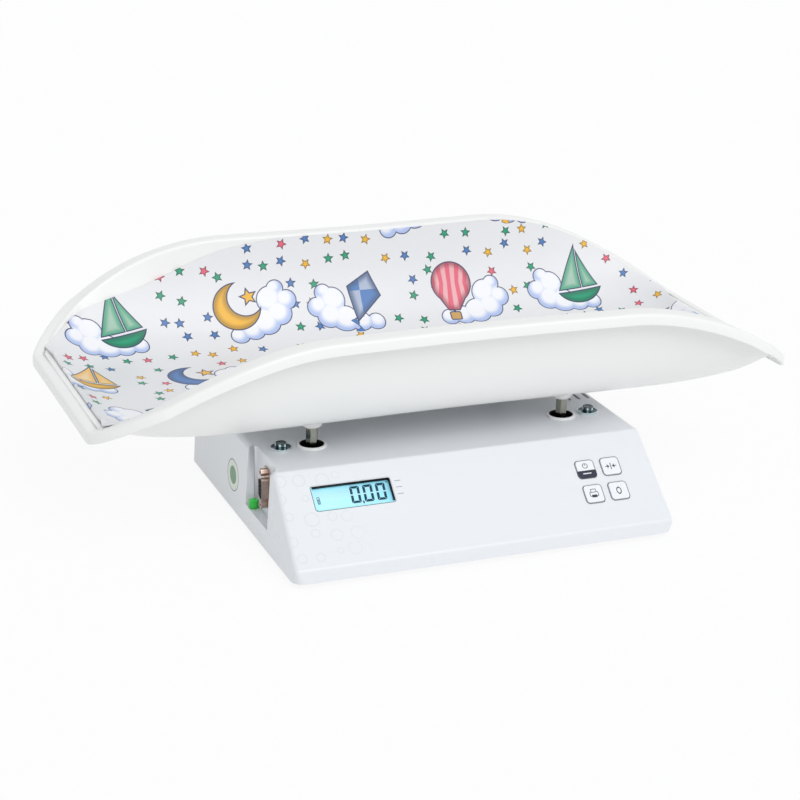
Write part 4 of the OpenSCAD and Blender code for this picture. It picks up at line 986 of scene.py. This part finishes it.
mat = {"thick": 2.0, "gap": 0.45, "bow": 0.9, "left": -261.5, "right": 261.5, "back": (1.0, 1.0, 1.0, 0.045),
       "front": (0.98, 0.97, 0.96, 0.0), "rows": 230, "columns": 130}


def matShare(x, left, middle, right, sag):
    # how far up the wall an edge of the mat reaches
    k = x / (mat["left"] if x < 0 else mat["right"])
    hang = sag * math.sin(math.pi * k * k) ** 2 if x < 0 else 0.0
    return middle + ((left if x < 0 else right) - middle) * k ** 3 - hang


def crowded(i, count):
    # from -1 to 1 in steps that are short near the ends
    return math.sin(math.pi / 2 * (2 * i / count - 1))


def matSpot(i, j):
    x = (mat["left"] + mat["right"] + (mat["right"] - mat["left"]) * crowded(i, mat["rows"])) / 2
    v = crowded(j, mat["columns"])
    share = matShare(x, *(mat["back"] if v > 0 else mat["front"]))
    return x, halfWidth(min(abs(x), tray["endX"])) * v * share


def matLift(x, y):
    # the sheet stands a little proud where it bends from the floor to the walls
    share = abs(y) / halfWidth(min(abs(x), tray["endX"]))
    bow = math.exp(-((share - 0.84) / 0.07) ** 2) * mat["bow"]
    ripple = 0.5 + 0.5 * math.sin(x * 0.043 + 1.3 * math.sin(y * 0.02)) * math.sin(y * 0.031 + 0.4)
    return mat["gap"] + bow + 0.5 * ripple * share


def makeMat(material):
    rows, columns = mat["rows"], mat["columns"]
    across = columns + 1
    spots = [matSpot(i, j) for i in range(rows + 1) for j in range(across)]
    lifts = [tray["wall"] + matLift(x, y) for x, y in spots]
    low = [trayPoint(x, y, lift) for (x, y), lift in zip(spots, lifts)]
    high = [trayPoint(x, y, lift + mat["thick"]) for (x, y), lift in zip(spots, lifts)]
    points = high + low
    half = len(high)
    faces = []
    for i in range(rows):
        for j in range(columns):
            a = i * across + j
            faces.append((a, a + across, a + across + 1, a + 1))
            faces.append((half + a, half + a + 1, half + a + across + 1, half + a + across))
    edge = list(range(columns)) + [i * across + columns for i in range(rows)]
    edge += [rows * across + j for j in range(columns, 0, -1)] + [i * across for i in range(rows, 0, -1)]
    for k, a in enumerate(edge):
        b = edge[(k + 1) % len(edge)]
        faces.append((a, b, b + half, a + half))
    mesh = smoothMesh("matSheet", [inFrame(p) for p in points], faces)
    mesh.materials.append(material)
    piece = enrol(stand("matSheet", mesh), "platform", "mat")

    # lengths over the sheet, for its print
    along = [0.0] * half
    over = [0.0] * half
    middleRow, middleColumn = rows // 2, columns // 2
    for i in range(rows + 1):
        for step in (1, -1):
            j = middleColumn
            while 0 <= j + step <= columns:
                a, b = i * across + j, i * across + j + step
                over[b] = over[a] + step * (high[b] - high[a]).length
                j += step
    for step in (1, -1):
        i = middleRow
        while 0 <= i + step <= rows:
            a, b = i * across + middleColumn, (i + step) * across + middleColumn
            travel = step * (high[b] - high[a]).length
            for j in range(across):
                along[(i + step) * across + j] = along[i * across + j] + travel
            i += step
    layer = piece.data.uv_layers.new(name="clothUv")
    for loop in piece.data.loops:
        k = loop.vertex_index % half
        layer.data[loop.index].uv = (along[k] * mm, over[k] * mm)
    width = (along[rows * across] - along[0]) * mm
    depth = max(over) * mm - min(over) * mm
    area = sum(f.area for f in piece.data.polygons) / 2
    min(area, width * depth)


camera = {"place": (-0.570454, -1.388897, 0.614018), "turn": (70.104057, -1.260682, -21.470124),
          "lens": 93.735}


def makeCamera():
    data = bpy.data.cameras.new("camera")
    data.lens = camera["lens"]
    data.sensor_width = 36
    data.clip_end = 30
    view = stand("camera", data)
    turn = Euler([math.radians(a) for a in camera["turn"]]).to_matrix().to_4x4()
    view.matrix_world = Matrix.Translation(camera["place"]) @ turn
    bpy.context.scene.camera = view
    bpy.context.scene.view_settings.view_transform = "Standard"


light = {"dome": 0.64, "domeColor": (0.97, 0.985, 1.0), "sun": 1.14, "sunFrom": (0.2, -1.0, 0.95),
         "sunAngle": 40, "sunShine": 0.25, "floor": 0.97, "glow": 0.9, "reach": 6.0, "drop": 0.0002}


class Sky(Finish):
    # the world, with the same short ways to add its nodes
    def __init__(self, name):
        world = bpy.data.worlds.new(name)
        bpy.context.scene.world = world
        world.use_nodes = True
        self.tree = world.node_tree
        self.tree.nodes.clear()
        self.output = self.tree.nodes.new("ShaderNodeOutputWorld")


def seenRays(finish):
    # 1 for what the camera sees, straight, mirrored or through glass
    rays = finish.node("ShaderNodeLightPath").socket.node.outputs
    kinds = ("Is Camera Ray", "Is Glossy Ray", "Is Transmission Ray")
    return finish.most(*[Wire(finish, rays[kind]) for kind in kinds])


def makeLight():
    sky = Sky("studio")
    dome = sky.node("ShaderNodeBackground", None, {0: light["domeColor"], 1: light["dome"]})
    white = sky.node("ShaderNodeBackground", None, {0: (1.0, 1.0, 1.0), 1: 1.0})
    blend = sky.node("ShaderNodeMixShader", None, {0: seenRays(sky), 1: dome, 2: white})
    sky.tree.links.new(blend.socket, sky.output.inputs[0])
    data = bpy.data.lights.new("softKey", "SUN")
    data.energy = light["sun"]
    data.angle = math.radians(light["sunAngle"])
    data.specular_factor = light["sunShine"]
    lamp = stand("softKey", data)
    lamp.rotation_mode = "QUATERNION"
    lamp.rotation_quaternion = Vector(light["sunFrom"]).to_track_quat("Z", "Y")


def makeFloor():
    made = Finish("paleFloor", Roughness=0.9)
    tone = light["floor"]
    spread = made.noise(3.0, 2.0)
    made.tint(spread, (tone,) * 3, (tone - 0.01,) * 3)
    glow = made.node("ShaderNodeEmission", None, {"Color": (1.0, 1.0, 1.0), "Strength": 1.0})
    plain = Wire(made, made.shader.outputs[0])
    blend = made.node("ShaderNodeMixShader", None, {0: seenRays(made) * light["glow"], 1: plain, 2: glow})
    made.tree.links.new(blend.socket, made.output.inputs[0])
    r = light["reach"]
    mesh = bpy.data.meshes.new("floor")
    mesh.from_pydata([(-r, -r, 0), (r, -r, 0), (r, r, 0), (-r, r, 0)], [], [(0, 1, 2, 3)])
    mesh.materials.append(made.material)
    floor = stand("floor", mesh)
    floor.location.z = -light["drop"]


makeCamera()
makeLight()
makeFloor()
print("camera, light and floor made")

finishes = {
    "housing": housingFinish(),
    "tray": trayFinish(),
    "bolt": boltFinish("blueZinc", 0.4, 7.6),
    "post": postFinish(),
    "display": displayFinish(),
    "window": windowFinish("clearWindow", (0.1, 0.3, 0.36), 0.06),
    "vial": windowFinish("vialClear", (0.10, 0.85, 0.15), 0.45),
    "bezel": bezelFinish(),
    "steel": metalFinish("zincSteel", (0.66, 0.68, 0.70), 0.25, 0.45),
    "brass": metalFinish("brassInsert", (0.75, 0.58, 0.28), 0.2, 0.4),
    "aluminium": metalFinish("cellAluminium", (0.80, 0.81, 0.82), 0.3, 0.5),
    "dark": metalFinish("blackOxideAndPaintedShade", (0.10, 0.10, 0.11), 0.3, 0.5),
    "connector": metalFinish("connectorNickel", (0.55, 0.42, 0.36), 0.22, 0.42),
    "black": plasticFinish("blackPlastic", (0.006, 0.007, 0.009), 0.5, 0.7, gloss=0.15),
    "ring": ringFinish(),
    "boltDark": boltFinish("boltZinc", 0.3, 4.5),
    "rubber": plasticFinish("footRubber", (0.03, 0.03, 0.03), 0.6, 0.85, 0.3),
    "board": plasticFinish("boardGreen", (0.02, 0.2, 0.09), 0.3, 0.5, 0.1),
    "wrap": plasticFinish("cellWrap", (0.05, 0.16, 0.42), 0.2, 0.35, 0.05),
    "level": plasticFinish("levelGreen", (0.03, 0.80, 0.07), 0.08, 0.2, 0.02),
    "mat": matFinish(),
}
feet = ("front_left", "front_right", "back_left", "back_right")
dressed = {
    "display": ["lcd_glass", "lcd_backlight"],
    "window": ["display_window"],
    "vial": ["level_case"],
    "steel": ["base_plate", "case_screws", "cover_pillars", "panel_board_screws", "board_standoffs",
              "overload_stops", "post_nuts", "cell_lower_spacer", "cell_upper_spacer", "inlet_pin",
              "tray_screws", "pillar_screws", *["foot_stud_" + foot for foot in feet]],
    "brass": ["foot_inserts"],
    "aluminium": ["load_cell"],
    # the screws are black oxide; the spider gets this near black finish as painted shade for the dark inside
    # of the housing seen past the posts
    "dark": ["cell_lower_screws", "cell_upper_bolts", "spider"],
    "connector": ["connector_shell", "connector_jack_screws"],
    "bezel": ["display_bezel"],
    "black": ["connector_insert", "power_inlet", "key_switches", "battery_holder", "board_parts"],
    "rubber": ["foot_pad_" + foot for foot in feet],
    "board": ["display_board", "keypad_board", "main_board"],
    "wrap": ["battery_cells"],
    "level": ["level_fluid"],
}
keyMarks = {"power": powerMark, "tare": tareMark, "print": printMark, "zero": zeroMark}
for i, (key, drawMark) in enumerate(keyMarks.items()):
    finishes[key] = keyFinish(f"key{key.title()}Face", i % 2, i // 2, drawMark, darkFoot=key == "power")
    dressed[key] = ["key_" + key]
print("finishes made:", len(finishes))

for finishName, members in dressed.items():
    for member in members:
        nodes[member].data.materials.clear()
        nodes[member].data.materials.append(finishes[finishName])
print("solids dressed")

makeTray(finishes["tray"])
makeMat(finishes["mat"])
print("tray and mat made")

smoothCopy("base_cover", "coverShell", finishes["housing"], 32)
makeBolts()
makeRings()
makeContacts()
smoothCopy("platform_posts", "postBars", finishes["post"], 40, 0.35 * mm)
print("cover, rings and posts smoothed")
